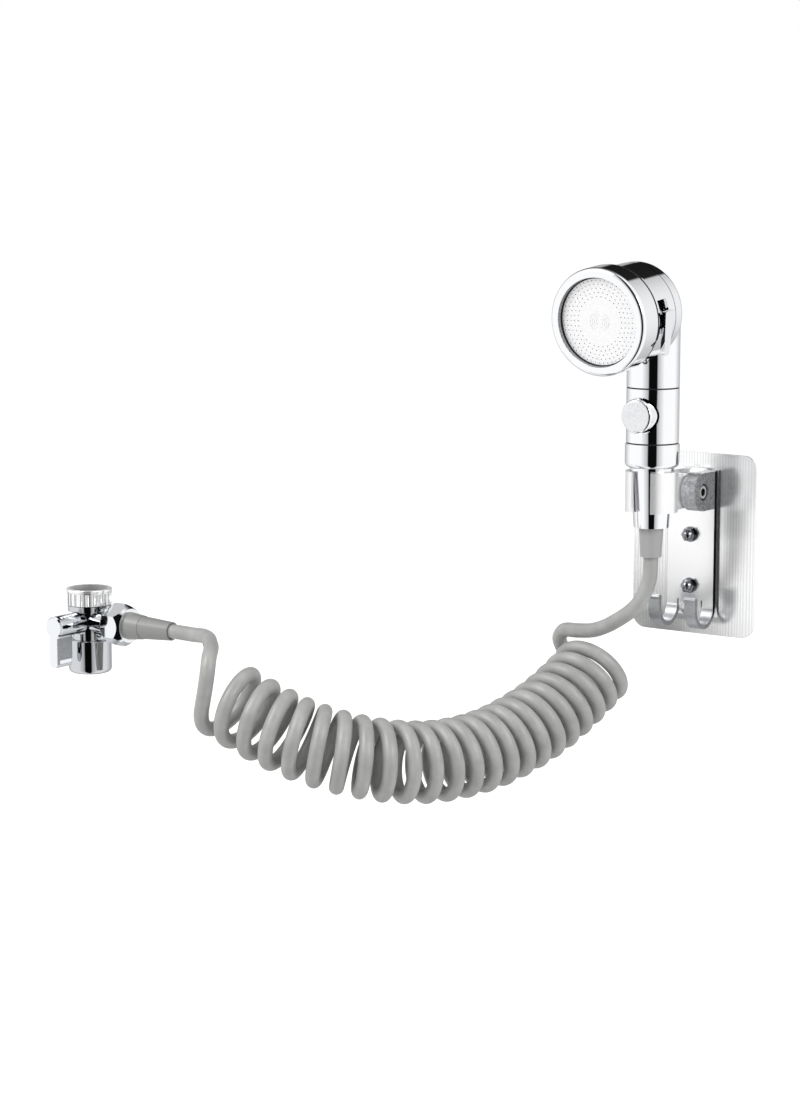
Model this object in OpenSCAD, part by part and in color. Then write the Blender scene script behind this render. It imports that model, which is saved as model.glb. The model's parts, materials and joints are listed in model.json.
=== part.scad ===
// Handheld bath sprayer: wall holder, handset, curly hose and tap diverter.
// Millimetres, +Z up. The wall is the plane y = 0 and -Y points out of the wall.
// The origin is the middle of the adhesive sheet's back face.

/* [Wall holder] */
// Width of the adhesive sheet
sheet_w = 78; // [64:1:90]
// Height of the adhesive sheet
sheet_h = 103; // [96:1:120]
// Thickness of the adhesive sheet
sheet_t = 0.8; // [0.5:0.1:1.2]
// Corner radius of the adhesive sheet
sheet_r = 8; // [3:1:14]
// Thickness of the stud discs under the bracket
stud_disc_t = 1; // [0.8:0.1:1.4]
// Diameter of the studs and of the threads in the acorn nuts
stud_d = 4; // [3:0.5:5]
// Height of the upper stud above the origin
stud_high = 5.3; // [3:0.1:8]
// Distance between the two studs
stud_pitch = 29; // [22:0.5:30]
// Width of the bracket strip
strip_w = 30; // [28:0.5:34]
// Thickness of the bracket strip and of its hooks
strip_t = 2.4; // [1.6:0.1:2.8]
// Top edge of the bracket strip
strip_top = 43; // [42.5:0.5:48]
// Radius of the strip's top corners
strip_r = 8; // [4:0.5:12]
// Bottom edge of the strip's tongue between its hooks
strip_bottom = -38; // [-39:0.5:-36]
// Width of each hook
hook_w = 7; // [5:0.2:9]
// Outer radius of the hooks' bend
hook_r = 11.3; // [9:0.1:12]
// Height of the hook tips above the bend's centre
hook_rise = 6; // [3:0.5:9]
// Distance of the clamp's pivot from the wall
pivot_out = 16.5; // [16:0.5:18]
// Height of the clamp's pivot
pivot_z = 31.4; // [31:0.2:33]
// Radius of the round front of the pivot lugs
lug_r = 10.6; // [10:0.2:11.4]
// Thickness of each pivot lug
lug_t = 8.6; // [7:0.2:9.2]
// Diameter of the pivot screw
pivot_d = 5; // [4:0.5:5]
// Thickness of the friction washers beside the knuckle
friction_t = 0.8; // [0.5:0.1:1.2]

/* [Clamp] */
// Distance of the handset's axis from the wall
stand_off = 48; // [46:0.5:52]
// Outer radius of the clamp ring
clamp_r = 14.5; // [14:0.1:15.2]
// Bottom of the clamp ring
clamp_z = 23.2; // [22:0.2:25]
// Height of the clamp ring
clamp_h = 22.4; // [18:0.2:23]
// Half angle of the clamp's mouth in degrees
mouth_half = 23.5; // [22:0.5:27]
// Angle by which the mouth is turned towards +X in degrees
mouth_turn = 3.5; // [0:0.5:6]
// Thickness of the clamp's two lips
lip_t = 1.6; // [1.4:0.1:2.4]
// Radius of the clamp's knuckle
knuckle_r = 9.6; // [8:0.1:9.8]
// Gap between the cone nut and the clamp's bore
cone_gap = 0.3; // [0.25:0.05:0.4]

/* [Handset] */
// Bottom of the cone nut
nut_z = 14.5; // [13:0.5:15]
// Length of the cone nut
nut_len = 33; // [32:0.5:35]
// Radius of the cone nut at its lower end
nut_low_r = 9.7; // [9.5:0.1:9.9]
// Radius of the cone nut at its upper end
nut_top_r = 11.8; // [11.6:0.1:12.1]
// Radius of the handset's threaded spigot
spigot_r = 9.8; // [9.2:0.1:10]
// Radius of the handle's collar
collar_r = 15; // [14.6:0.1:16]
// Height of the handle's collar
collar_h = 13; // [11:0.5:15]
// Radius of the handle
handle_r = 14.5; // [14:0.1:15.5]
// Height of the button section
button_h = 29.5; // [29:0.5:32]
// Thickness of the dark gaskets in the handle's seams
seam_t = 0.8; // [0.4:0.1:1]
// Diameter of the stop button
button_d = 19; // [15:0.5:19]
// Distance of the button's face from the handset's axis
button_out = 18.5; // [17.8:0.1:22]
// Rounding of the button's front edge
button_edge = 1.8; // [0.6:0.1:2.4]
// Travel of the stop button
button_travel = 3.1; // [2.9:0.1:3.2]
// Radius of the water passages
passage_r = 5.5; // [4:0.5:6]

/* [Head] */
// Height at which the head's axis crosses the handset's axis
head_z = 136; // [134:0.5:140]
// Downward tilt of the head in degrees
head_tilt = 6; // [0:1:10]
// Distance of the bezel's front face from the handset's axis
face_out = 60; // [59:0.5:63]
// Radius of the bezel
bezel_r = 29; // [28.6:0.1:30]
// Depth of the bezel
bezel_h = 15; // [14.5:0.5:16]
// Rounding of the bezel's front edge
bezel_edge = 2.5; // [1:0.1:3]
// Radius of the drum behind the bezel
drum_r = 26.6; // [26.3:0.1:26.8]
// Length of the drum that holds the mode lever
drum_h = 18.8; // [18.4:0.1:19.4]
// Thickness of the thin ring behind the bezel
ring_t = 2.7; // [2:0.1:3.2]
// Width of the mode lever along the head's axis
lever_w = 9; // [7:0.5:9.5]
// Length of the lever's paddle
paddle_len = 23.5; // [20:0.5:26]
// Thickness of the lever's paddle
paddle_t = 2.5; // [1.8:0.1:3]
// Travel of the mode lever in degrees
lever_travel = 20; // [15:1:30]
// Number of hole rings in the spray plate
hole_rings = 5; // [3:1:6]
// Diameter of the holes in the spray plate
hole_d = 0.6; // [0.5:0.1:0.8]

/* [Hose] */
// Outer diameter of the hose
hose_d = 8.2; // [7.2:0.1:8.2]
// Mean radius of the curls
curl_r = 18.6; // [17.6:0.1:18.8]
// Length of the grey sleeve below the cone nut
sleeve_len = 16.5; // [14:0.5:20]
// Length of the grey sleeve beyond the union nut
tap_sleeve_len = 31; // [26:0.5:36]

/* [Diverter] */
// Position of the diverter along the wall
tap_x = -299; // [-300:1:-298]
// Distance of the diverter from the wall
tap_out = 175; // [174:1:176]
// Height of the diverter's outlet and lever axis
port_z = -50; // [-51:1:-49]
// Radius of the diverter's body
body_r = 10; // [9.9:0.1:10.6]
// Radius of the body's top flange
flange_r = 12.5; // [12:0.1:13]
// Radius of the fluted swivel nut
swivel_r = 13.2; // [12.9:0.1:14]
// Height of the fluted swivel nut
swivel_h = 7.4; // [7:0.1:8.6]
// Number of flutes on the swivel nut
flute_count = 20; // [12:1:24]
// Radius of the tap thread in the swivel nut
tap_thread_r = 11; // [10.8:0.1:11.2]
// Radius of the outlet cup
cup_r = 12.4; // [12.2:0.1:13.2]
// Height of the outlet cup
cup_h = 19.5; // [18:0.5:24]
// Distance across the union nut's flats
union_flats = 21.5; // [21:0.1:23]
// Length of the union nut
union_len = 14.5; // [14:0.1:16]
// Radius of the lever's hub
hub_r = 6.3; // [5.8:0.1:6.5]
// Distance from the body's axis to the hub's cap
hub_out = 31; // [28:0.5:34]
// Drop of the lever's blade below its axis
blade_drop = 23.5; // [18:0.5:28]
// Width of the lever's blade
blade_w = 6; // [5:0.5:8]
// Depth of the lever's blade from front to back
blade_depth = 12.4; // [10:0.2:14]

/* [Hidden] */
$fn = 48;

slip = 0.05;      // gap of a fit that turns or slides
play = 0.3;       // gap between pieces that pass each other
eps = 0.02;       // overrun of a cut

// ---- Wall holder -------------------------------------------------------------------------

standoff = sheet_t + stud_disc_t;       // the strip's back face
strip_front = standoff + strip_t;
stud_zs = [stud_high, stud_high - stud_pitch];
washer_t = 0.6;
acorn_hex_h = 0.8 * stud_d;
acorn_hex_r = stud_d * 1.01;            // corner radius of the hexagon
acorn_base = strip_front + washer_t;    // where the acorn nuts seat
stud_len = acorn_base + acorn_hex_h + 0.4;
hook_z = strip_bottom + 3.2;
slot_top = hook_z + 3;                  // where the hooks part from the tongue
tongue_gap = 0.8;
tongue_r = 3;
lug_gap = strip_w - 2 * lug_t;
knuckle_w = lug_gap - 2 * (friction_t + slip);
screw_head_r = pivot_d * 0.9;
screw_head_h = 2.4;
pocket_r = screw_head_r + play;

// Draws its children with their 2D x as the model's Y and their 2D y as its Z, along +X from x0.
module along_x(x0, length)
    translate([x0, 0, 0]) rotate([90, 0, 90]) linear_extrude(length) children();

// A cylinder that points out of the wall from y = -from to y = -to.
module outward(from, to, r, r_end = undef)
    translate([0, -from, 0]) rotate([90, 0, 0])
        cylinder(h = to - from, r1 = r, r2 = is_undef(r_end) ? r : r_end);

module rounded_rect(w, h, r) {
    square([w - 2 * r, h], center = true);
    square([w, h - 2 * r], center = true);
    for (sx = [-1, 1], sz = [-1, 1])
        translate([sx * (w / 2 - r), sz * (h / 2 - r)]) circle(r);
}

module adhesive_sheet() color("gainsboro")
    rotate([90, 0, 0]) linear_extrude(sheet_t) rounded_rect(sheet_w, sheet_h, sheet_r);

module wall_studs() color("silver")
    for (z = stud_zs) translate([0, 0, z]) {
        outward(sheet_t, standoff, 2.2 * stud_d);
        outward(standoff - eps, stud_len, stud_d / 2);
    }

module strip_outline() {
    tongue_w = strip_w - 2 * hook_w - 2 * tongue_gap;
    translate([-strip_w / 2, slot_top]) square([strip_w, strip_top - strip_r - slot_top]);
    translate([-strip_w / 2 + strip_r, slot_top]) square([strip_w - 2 * strip_r, strip_top - slot_top]);
    translate([-tongue_w / 2, strip_bottom + tongue_r]) square([tongue_w, slot_top - strip_bottom]);
    translate([-tongue_w / 2 + tongue_r, strip_bottom]) square([tongue_w - 2 * tongue_r, tongue_r + 1]);
    for (s = [-1, 1]) translate([s * (tongue_w / 2 - tongue_r), strip_bottom + tongue_r]) circle(tongue_r);
    for (s = [-1, 1]) translate([s * (strip_w / 2 - strip_r), strip_top - strip_r]) circle(strip_r);
}

module lug_profile() {
    translate([-pivot_out, pivot_z]) circle(lug_r);
    translate([-pivot_out, pivot_z - lug_r]) square([pivot_out - standoff, 2 * lug_r]);
}

// One hook from the side: a J with a rolled tip.
module hook_profile() {
    centre_y = -standoff - hook_r;
    difference() {
        translate([centre_y, hook_z]) circle(hook_r);
        translate([centre_y, hook_z]) circle(hook_r - strip_t);
        translate([centre_y - hook_r - 1, hook_z]) square([2 * hook_r + 2, hook_r + 1]);
    }
    translate([-strip_front, hook_z - eps]) square([strip_t, slot_top - hook_z + 1]);
    translate([centre_y - hook_r, hook_z - eps]) square([strip_t, hook_rise]);
    translate([centre_y - hook_r + 0.4 * strip_t, hook_z + hook_rise]) circle(0.62 * strip_t);
}

module holder_bracket() color("lightgray") difference() {
    union() {
        translate([0, -standoff, 0]) rotate([90, 0, 0]) linear_extrude(strip_t) strip_outline();
        along_x(lug_gap / 2, lug_t) lug_profile();
        along_x(-strip_w / 2, lug_t) lug_profile();
        along_x(strip_w / 2 - hook_w, hook_w) hook_profile();
        along_x(-strip_w / 2, hook_w) hook_profile();
    }
    for (z = stud_zs) translate([0, 0, z]) outward(standoff - 1, strip_front + 1, stud_d / 2 + 0.2);
    along_x(-strip_w, 2 * strip_w) translate([-pivot_out, pivot_z]) circle(pivot_d / 2 + slip);
    along_x(strip_w / 2 - screw_head_h, strip_w) translate([-pivot_out, pivot_z]) circle(pocket_r);
    along_x(-strip_w / 2 - strip_w, strip_w + 3.4) translate([-pivot_out, pivot_z]) circle(pocket_r);
}

module stud_washers() color("silver")
    for (z = stud_zs) translate([0, 0, z]) difference() {
        outward(strip_front, acorn_base, 1.1 * stud_d);
        outward(standoff, stud_len, stud_d / 2 + 0.15);
    }

module acorn_nuts() color("silver")
    for (z = stud_zs) translate([0, 0, z]) difference() {
        union() {
            translate([0, -acorn_base, 0]) rotate([90, 0, 0])
                cylinder(h = acorn_hex_h, r = acorn_hex_r, $fn = 6);
            translate([0, -acorn_base - acorn_hex_h + 0.4, 0]) intersection() {
                sphere(0.8 * stud_d);
                outward(0, stud_d, stud_d);
            }
        }
        outward(standoff, stud_len + 0.2, stud_d / 2 + slip);
    }

module pivot_screw() color("dimgray") translate([0, -pivot_out, pivot_z]) rotate([0, 90, 0]) difference() {
    union() {
        translate([0, 0, strip_w / 2 - screw_head_h]) cylinder(h = screw_head_h - 0.6, r = screw_head_r);
        translate([0, 0, -strip_w / 2 + 0.6]) cylinder(h = strip_w - 2, r = pivot_d / 2);
    }
    translate([0, 0, strip_w / 2 - screw_head_h + 0.3])
        cylinder(h = screw_head_h, r = pivot_d * 0.42, $fn = 6);
}

module pivot_nut() color("dimgray") translate([0, -pivot_out, pivot_z]) rotate([0, 90, 0]) difference() {
    translate([0, 0, -strip_w / 2 + 0.6]) cylinder(h = 2.8, r = screw_head_r, $fn = 6);
    translate([0, 0, -strip_w / 2]) cylinder(h = 4, r = pivot_d / 2 + slip);
}

module friction_washers() color("white") translate([0, -pivot_out, pivot_z]) rotate([0, 90, 0])
    for (s = [-1, 1]) translate([0, 0, s * (lug_gap - friction_t) / 2]) difference() {
        cylinder(h = friction_t - slip, r = knuckle_r - 0.6, center = true);
        cylinder(h = friction_t + 1, r = pivot_d / 2 + slip, center = true);
    }

// ---- Clamp -------------------------------------------------------------------------------

function cone_r(z) = nut_low_r + (nut_top_r - nut_low_r) * (z - nut_z) / nut_len;

arm_h = 18;

lip_angle = 10.5;                        // angle that each thin lip covers

// A wedge in front of the handset's axis, as tall as the clamp and more.
module wedge(half, reach)
    translate([0, -stand_off, clamp_z - 3]) rotate(mouth_turn) linear_extrude(clamp_h + 6) polygon(
        [[0, 0], [-sin(half), -cos(half)] * reach, [sin(half), -cos(half)] * reach]);

module holder_clamp() color("gainsboro") difference() {
    union() {
        translate([0, -stand_off, clamp_z]) cylinder(h = clamp_h, r = clamp_r);
        translate([-knuckle_w / 2, -stand_off, pivot_z - arm_h / 2])
            cube([knuckle_w, stand_off - pivot_out, arm_h]);
        along_x(-knuckle_w / 2, knuckle_w) translate([-pivot_out, pivot_z]) circle(knuckle_r);
    }
    translate([0, -stand_off, clamp_z - 2]) cylinder(
        h = clamp_h + 4, r1 = cone_r(clamp_z - 2) + cone_gap, r2 = cone_r(clamp_z + clamp_h + 2) + cone_gap);
    wedge(mouth_half, 2 * clamp_r);
    intersection() {
        wedge(mouth_half + lip_angle, 2 * clamp_r);
        translate([0, -stand_off, clamp_z - 1]) cylinder(h = clamp_h + 2, r = clamp_r - lip_t);
    }
    along_x(-knuckle_w, 2 * knuckle_w) translate([-pivot_out, pivot_z]) circle(pivot_d / 2 + slip);
}

// ---- Handset -----------------------------------------------------------------------------

nut_top = nut_z + nut_len;
sleeve_z = nut_z - sleeve_len;
sleeve_top_r = nut_low_r - 2.95;
sleeve_low_r = sleeve_top_r - 0.9;
sleeve_in = nut_z + 20;                  // top of the sleeve inside the cone nut
barb_r = 3;
socket_r = hose_d / 2 + 0.4;             // mouth of a sleeve, round the hose
socket_depth = 3;
tail_flange_t = 2.4;
tail_r = nut_low_r - 0.7;
washer_z = sleeve_in + tail_flange_t + 2 * slip;
spigot_z = washer_z + 2 + slip;
collar_z = nut_top + play;
seam_low = collar_z + collar_h;          // under the lower dark gasket
seam_high = seam_low + seam_t + button_h;
neck_z = seam_high + seam_t;
thread_r = handle_r - 3.5;               // threads that join the handle's sections
thread_len = 4.5;
collar_edge = 2.5;                       // rounding of the collar's lower edge
button_z = seam_low + seam_t + 0.515 * button_h;

module at_handset() translate([0, -stand_off, 0]) children();

module at_button() translate([0, -stand_off, button_z]) children();

// A ring from height z0 to z1.
module tube(z0, z1, r_out, r_in) difference() {
    translate([0, 0, z0]) cylinder(h = z1 - z0, r = r_out);
    translate([0, 0, z0 - 1]) cylinder(h = z1 - z0 + 2, r = r_in);
}

module cone_nut() color("gainsboro") at_handset() difference() {
    union() {
        translate([0, 0, nut_z]) cylinder(h = nut_len, r1 = nut_low_r, r2 = nut_top_r);
        translate([0, 0, nut_top - 1.2]) cylinder(h = 1.2, r = nut_top_r + 0.4);
    }
    translate([0, 0, nut_z - 1]) cylinder(h = nut_len, r = sleeve_top_r + slip);
    translate([0, 0, sleeve_in - slip]) cylinder(h = nut_len, r = tail_r + slip);
    translate([0, 0, spigot_z - 1]) cylinder(h = nut_len, r = spigot_r + slip);
}

module handset_sleeve() color("darkgray") at_handset() difference() {
    union() {
        translate([0, 0, sleeve_z]) cylinder(h = sleeve_len, r1 = sleeve_low_r, r2 = sleeve_top_r);
        translate([0, 0, nut_z - eps]) cylinder(h = sleeve_in - nut_z + eps, r = sleeve_top_r);
    }
    translate([0, 0, sleeve_z - 1]) cylinder(h = sleeve_in - sleeve_z + 2, r = barb_r + slip);
    translate([0, 0, sleeve_z - 1]) cylinder(h = socket_depth + 1, r = socket_r);
}

module handset_tail() color("goldenrod") at_handset() difference() {
    union() {
        translate([0, 0, sleeve_z + socket_depth])
            cylinder(h = sleeve_in - sleeve_z - socket_depth + 1, r = barb_r);
        translate([0, 0, sleeve_in]) cylinder(h = tail_flange_t, r = tail_r);
    }
    translate([0, 0, sleeve_z]) cylinder(h = nut_len + sleeve_len, r = barb_r - 1);
}

module hose_washer() color("black") at_handset() tube(washer_z, washer_z + 2, tail_r, passage_r);

module inlet_screen() color("silver") at_handset() {
    tube(spigot_z + 1, spigot_z + 3, passage_r + 2, passage_r + 1);
    for (a = [0 : 45 : 135]) rotate(a) translate([-passage_r - 1.5, -0.3, spigot_z + 1])
        cube([2 * passage_r + 3, 0.6, 0.6]);
}

module handle_collar() color("gainsboro") at_handset() difference() {
    union() {
        rotate_extrude() {
            translate([0, collar_z]) square([collar_r - collar_edge, collar_h]);
            translate([0, collar_z + collar_edge]) square([collar_r, collar_h - collar_edge - 0.5]);
            translate([0, collar_z + collar_edge]) square([collar_r - 0.5, collar_h - collar_edge]);
            translate([collar_r - collar_edge, collar_z + collar_edge]) circle(collar_edge);
        }
        translate([0, 0, spigot_z]) cylinder(h = collar_z - spigot_z + 1, r = spigot_r);
        translate([0, 0, seam_low - 1]) cylinder(h = thread_len + seam_t, r = thread_r);
    }
    translate([0, 0, spigot_z - 1])
        cylinder(h = seam_low + seam_t + thread_len - spigot_z + 1, r = passage_r);
    translate([0, 0, spigot_z - 1]) cylinder(h = 4 + slip, r = passage_r + 2 + slip);
}

module seam_gaskets() color("black") at_handset()
    for (z = [seam_low, seam_high]) tube(z, z + seam_t, handle_r - play, thread_r + slip);

valve_r = 5;
well_depth_y = 6.6;                       // floor of the button's well, in front of the axis
well_r = button_d / 2 + 0.7;
valve_back = handle_r - 3;                // end of the valve's bore behind the axis
land_r = valve_r - 0.3;
port_w = 7;
port_t = 3;
land_len = 4.6;
front_land = -port_t / 2 - 0.1 - land_len;
rear_land = port_t / 2 + 0.4;
rear_land_len = 3.6;
stem_r = 2.2;
cap_back = well_depth_y + button_travel + 0.2;
seal_w = 1.4;
seal_centres = [front_land + land_len / 2, rear_land + rear_land_len / 2];

module button_body() color("gainsboro") at_handset() {
    z0 = seam_low + seam_t;
    difference() {
        translate([0, 0, z0]) cylinder(h = button_h, r = handle_r);
        translate([0, 0, z0 - 1]) cylinder(h = thread_len, r = thread_r + slip);
        translate([0, 0, z0 + button_h - thread_len + 1]) cylinder(h = thread_len, r = thread_r + slip);
        translate([-port_w / 2, -port_t / 2, z0]) cube([port_w, port_t, button_h]);
        translate([0, 0, button_z]) {
            outward(-valve_back, well_depth_y + 1, valve_r);
            outward(well_depth_y, handle_r + 2, well_r);
        }
    }
}

// The profile of a turned piece from height low to high: its upper edge is rounded, its inside is solid.
module rounded_profile(low, high, r, edge) {
    translate([0, low]) square([r, high - low - edge]);
    translate([0, low]) square([r - edge, high - low]);
    translate([r - edge, high - edge]) circle(edge);
}

module stop_button() color("gainsboro") at_button() rotate([90, 0, 0])
    rotate_extrude() rounded_profile(cap_back, button_out, button_d / 2, button_edge);

module button_spool() color("silver") at_button() difference() {
    union() {
        outward(-valve_back + button_travel + 0.4, cap_back, stem_r);
        outward(-front_land - land_len, -front_land, land_r);
        outward(-rear_land - rear_land_len, -rear_land, land_r);
    }
    for (y = seal_centres) difference() {
        outward(-y - seal_w / 2 - slip, -y + seal_w / 2 + slip, valve_r + 1);
        outward(-y - seal_w, -y + seal_w, valve_r - slip - seal_w - slip);
    }
}

module spool_seals() color("black") at_button()
    for (y = seal_centres) translate([0, y, 0]) rotate([90, 0, 0]) rotate_extrude()
        translate([valve_r - slip - seal_w / 2, 0]) circle(seal_w / 2, $fn = 16);

// A swept tube: one polyhedron through the points of a path, its rings square to the path.
function unit(v) = v / norm(v);
function path_dir(p, i) = let (n = len(p))
    i == 0 ? unit(p[1] - p[0])
    : i == n - 1 ? unit(p[n - 1] - p[n - 2])
    : unit(unit(p[i + 1] - p[i]) + unit(p[i] - p[i - 1]));
function across(v, d) = unit(v - (v * d) * d);
function carried(p, i, v) = i == 0 ? [across(v, path_dir(p, 0))]
    : let (before = carried(p, i - 1, v)) concat(before, [across(before[i - 1], path_dir(p, i))]);
function ring_points(c, d, v, r, sides) = let (w = cross(d, v))
    [for (k = [0 : sides - 1]) c + r * (cos(360 * k / sides) * v + sin(360 * k / sides) * w)];
function tube_faces(rings, sides) = concat(
    [[for (k = [sides - 1 : -1 : 0]) k]],
    [for (i = [0 : rings - 2], k = [0 : sides - 1]) let (a = i * sides + k, b = i * sides + (k + 1) % sides)
        each [[a, b, b + sides], [a, b + sides, a + sides]]],
    [[for (k = [0 : sides - 1]) (rings - 1) * sides + k]]);

module swept_tube(path, r, sides, start_across) {
    sides_dirs = carried(path, len(path) - 1, start_across);
    polyhedron(
        points = [for (i = [0 : len(path) - 1])
            each ring_points(path[i], path_dir(path, i), sides_dirs[i], r, sides)],
        faces = tube_faces(len(path), sides));
}

spring_wire = 0.6;
spring_turns = 3;
spring_r = valve_r - 0.6 - spring_wire / 2;
spring_front = rear_land + rear_land_len + slip;
spring_len = valve_back - spring_front - slip;

module button_spring() color("silver") at_button() {
    run = spring_len - spring_wire;
    steps = 8 * spring_turns;
    swept_tube([for (i = [0 : steps])
        [spring_r * cos(45 * i), spring_front + spring_wire / 2 + run * i / steps, spring_r * sin(45 * i)]],
        spring_wire / 2, 6, [1, 0, 0]);
}

// ---- Head --------------------------------------------------------------------------------
// In the head's own frame the axis is z, which points forwards, x is the model's X and y is up.

bezel_back = face_out - bezel_h;
bezel_back_edge = 0.8;                   // rounding of the bezel's rear edge
seal_t = 1;
ring_back = bezel_back - seal_t - ring_t;
drum_back = ring_back - play - drum_h;
drum_front = ring_back - play;
bore_r = drum_r - 3.1;
neck_spigot_r = drum_r - 1.5;            // the housing's thread inside the bezel
neck_spigot_end = bezel_back + 8;
cap_edge = 3.5;
cap_back_z = drum_back - 9.2;
cap_r = drum_r - 0.3;
joint_len = 4.5;
elbow_step = 0.3;                        // the head's branch is this much slimmer than the neck
lever_z0 = drum_back + joint_len + 3.5;
root_half = 5;                           // half of the angle that the lever's root covers
root_angle = -6;
paddle_in = drum_r + 0.7;                // the paddle's flat inner face
paddle_turn = 5;                         // the paddle leans in by this angle towards its end
paddle_top = 6;
paddle_taper = 3.6;                      // how much the paddle's rear side draws in towards its end
paddle_r = 2.2;                          // corners of the paddle's end
hub_ring_r = bore_r - 0.5;
disc_r = hub_ring_r - 4;
disc_pin_r = 2.5;                        // pin of the flow disc that the mode disc turns on
plate_back = face_out - 3.9;
plate_t = 0.6;
recess_r = bezel_r - 4.8;                // the round recess in the bezel's face
mouth_t = 1;                             // the bezel's thin mouth in front of the plate's gasket
plate_r = recess_r - 0.75;
gasket_in = recess_r - 1.4;
hole_pitch = 2.2;                        // distance between the rings of holes
outer_hole_r = plate_r - 1.25;
groove_rs = [2, 3.2, 4.4, 5.6];          // fine rings turned in the middle of the plate
groove_t = 0.3;

module at_head() translate([0, -stand_off, head_z]) rotate([90 + head_tilt, 0, 0]) children();

// The neck with its rounded elbow on top, from the handle's threads up.
module neck_form() rotate_extrude() {
    translate([0, neck_z - thread_len + 1]) square([thread_r, thread_len]);
    translate([0, neck_z]) square([handle_r, head_z - neck_z]);
    intersection() {
        translate([0, head_z]) circle(handle_r);
        translate([0, head_z - eps]) square(2 * handle_r);
    }
}

module head_body() color("gainsboro") difference() {
    union() {
        at_handset() neck_form();
        at_head() {
            cylinder(h = cap_back_z + 3, r = handle_r - elbow_step);
            rotate_extrude() {
                translate([0, cap_back_z + cap_edge]) square([cap_r, drum_back - cap_back_z - cap_edge]);
                translate([0, cap_back_z]) square([cap_r - cap_edge, cap_edge + 1]);
                translate([cap_r - cap_edge, cap_back_z + cap_edge]) circle(cap_edge);
            }
            translate([0, 0, drum_back - 1]) cylinder(h = joint_len + 1, r = bore_r - slip);
        }
    }
    at_handset() translate([0, 0, neck_z - thread_len])
        cylinder(h = head_z - neck_z + thread_len + passage_r, r = passage_r + 2);
    at_head() {
        cylinder(h = drum_back + joint_len + 1, r = passage_r + 1.6);
        translate([0, 0, drum_back - 2]) cylinder(h = joint_len + 3, r = bore_r - 3);
    }
}

// A slice of a circle from angle a0 to a1.
module slice(r, a0, a1)
    polygon(concat([[0, 0]], [for (i = [0 : 8]) let (a = a0 + (a1 - a0) * i / 8) [r * cos(a), r * sin(a)]]));

module mode_housing() color("gainsboro") at_head() difference() {
    union() {
        translate([0, 0, drum_back + 0.25]) cylinder(h = drum_front - drum_back - 0.25, r = drum_r);
        translate([0, 0, drum_front - eps]) cylinder(h = neck_spigot_end - drum_front, r = neck_spigot_r);
    }
    translate([0, 0, drum_back - 1]) cylinder(h = face_out, r = bore_r);
    translate([0, 0, lever_z0 - 0.4]) linear_extrude(lever_w + 0.8)
        slice(2 * drum_r, root_angle - root_half - 1.5, root_angle + root_half + lever_travel + 1.5);
}

module lever_ring() color("gainsboro") at_head()
    tube(ring_back, ring_back + ring_t, bezel_r - 1, neck_spigot_r + slip);

module bezel_seal() color("black") at_head()
    tube(bezel_back - seal_t + slip, bezel_back - slip, bezel_r - 0.2, neck_spigot_r + slip);

module mode_disc() color("white") at_head() difference() {
    translate([0, 0, lever_z0 + 1]) cylinder(h = lever_w - 2, r = disc_r - slip);
    for (a = [0 : 60 : 300]) rotate(a) translate([disc_r * 0.62, 0, lever_z0]) cylinder(h = lever_w, r = 3);
    translate([0, 0, lever_z0]) cylinder(h = lever_w, r = disc_pin_r + slip);
}

// The paddle from the side: its height is 2D x and its width, along the head's axis, is 2D y.
module paddle_outline() {
    end = paddle_top - paddle_len;
    low = lever_z0 + paddle_taper;
    high = lever_z0 + lever_w;
    polygon([[paddle_top, lever_z0], [paddle_top, high], [end + paddle_r, high], [end + paddle_r, low]]);
    translate([end, low + paddle_r]) square([paddle_r + eps, high - low - 2 * paddle_r]);
    for (z = [low + paddle_r, high - paddle_r]) translate([end + paddle_r, z]) circle(paddle_r);
}

module mode_lever() color("gainsboro") at_head() {
    tube(lever_z0, lever_z0 + lever_w, hub_ring_r, disc_r);
    difference() {
        translate([0, 0, lever_z0]) linear_extrude(lever_w)
            slice(paddle_in + paddle_t / 2, root_angle - root_half, root_angle + root_half);
        translate([0, 0, lever_z0 - 1]) cylinder(h = lever_w + 2, r = hub_ring_r - 1);
    }
    rotate(-paddle_turn) along_x(paddle_in, paddle_t) paddle_outline();
}

module flow_disc() color("white") at_head() difference() {
    union() {
        translate([0, 0, bezel_back - 2]) cylinder(h = 3, r = bore_r - slip);
        translate([0, 0, lever_z0 + lever_w - 1 + slip])
            cylinder(h = bezel_back - lever_z0 - lever_w, r = 2 * disc_pin_r);
        translate([0, 0, lever_z0 + 1]) cylinder(h = bezel_back - lever_z0 - 1, r = disc_pin_r);
    }
    for (a = [0 : 30 : 330]) rotate(a) translate([bore_r * 0.72, 0, bezel_back - 3]) cylinder(h = 5, r = 2.2);
    for (a = [0 : 60 : 300]) rotate(a) translate([bore_r * 0.32, 0, bezel_back - 3]) cylinder(h = 5, r = 1.6);
}

// The gasket stands behind the plate, wraps its rim and lines the recess in front of it.
module plate_gasket() color("black") at_head() {
    front = plate_back + plate_t + slip;
    rotate_extrude() difference() {
        translate([gasket_in, neck_spigot_end + slip])
            square([recess_r - gasket_in, face_out - mouth_t - neck_spigot_end - 2 * slip]);
        translate([0, plate_back - slip]) square([plate_r + slip, plate_t + 2 * slip]);
        translate([0, front - eps]) square([plate_r - 0.35, 0.5]);
        translate([0, front + 0.45]) square([recess_r - 0.45, face_out]);
    }
}

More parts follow.
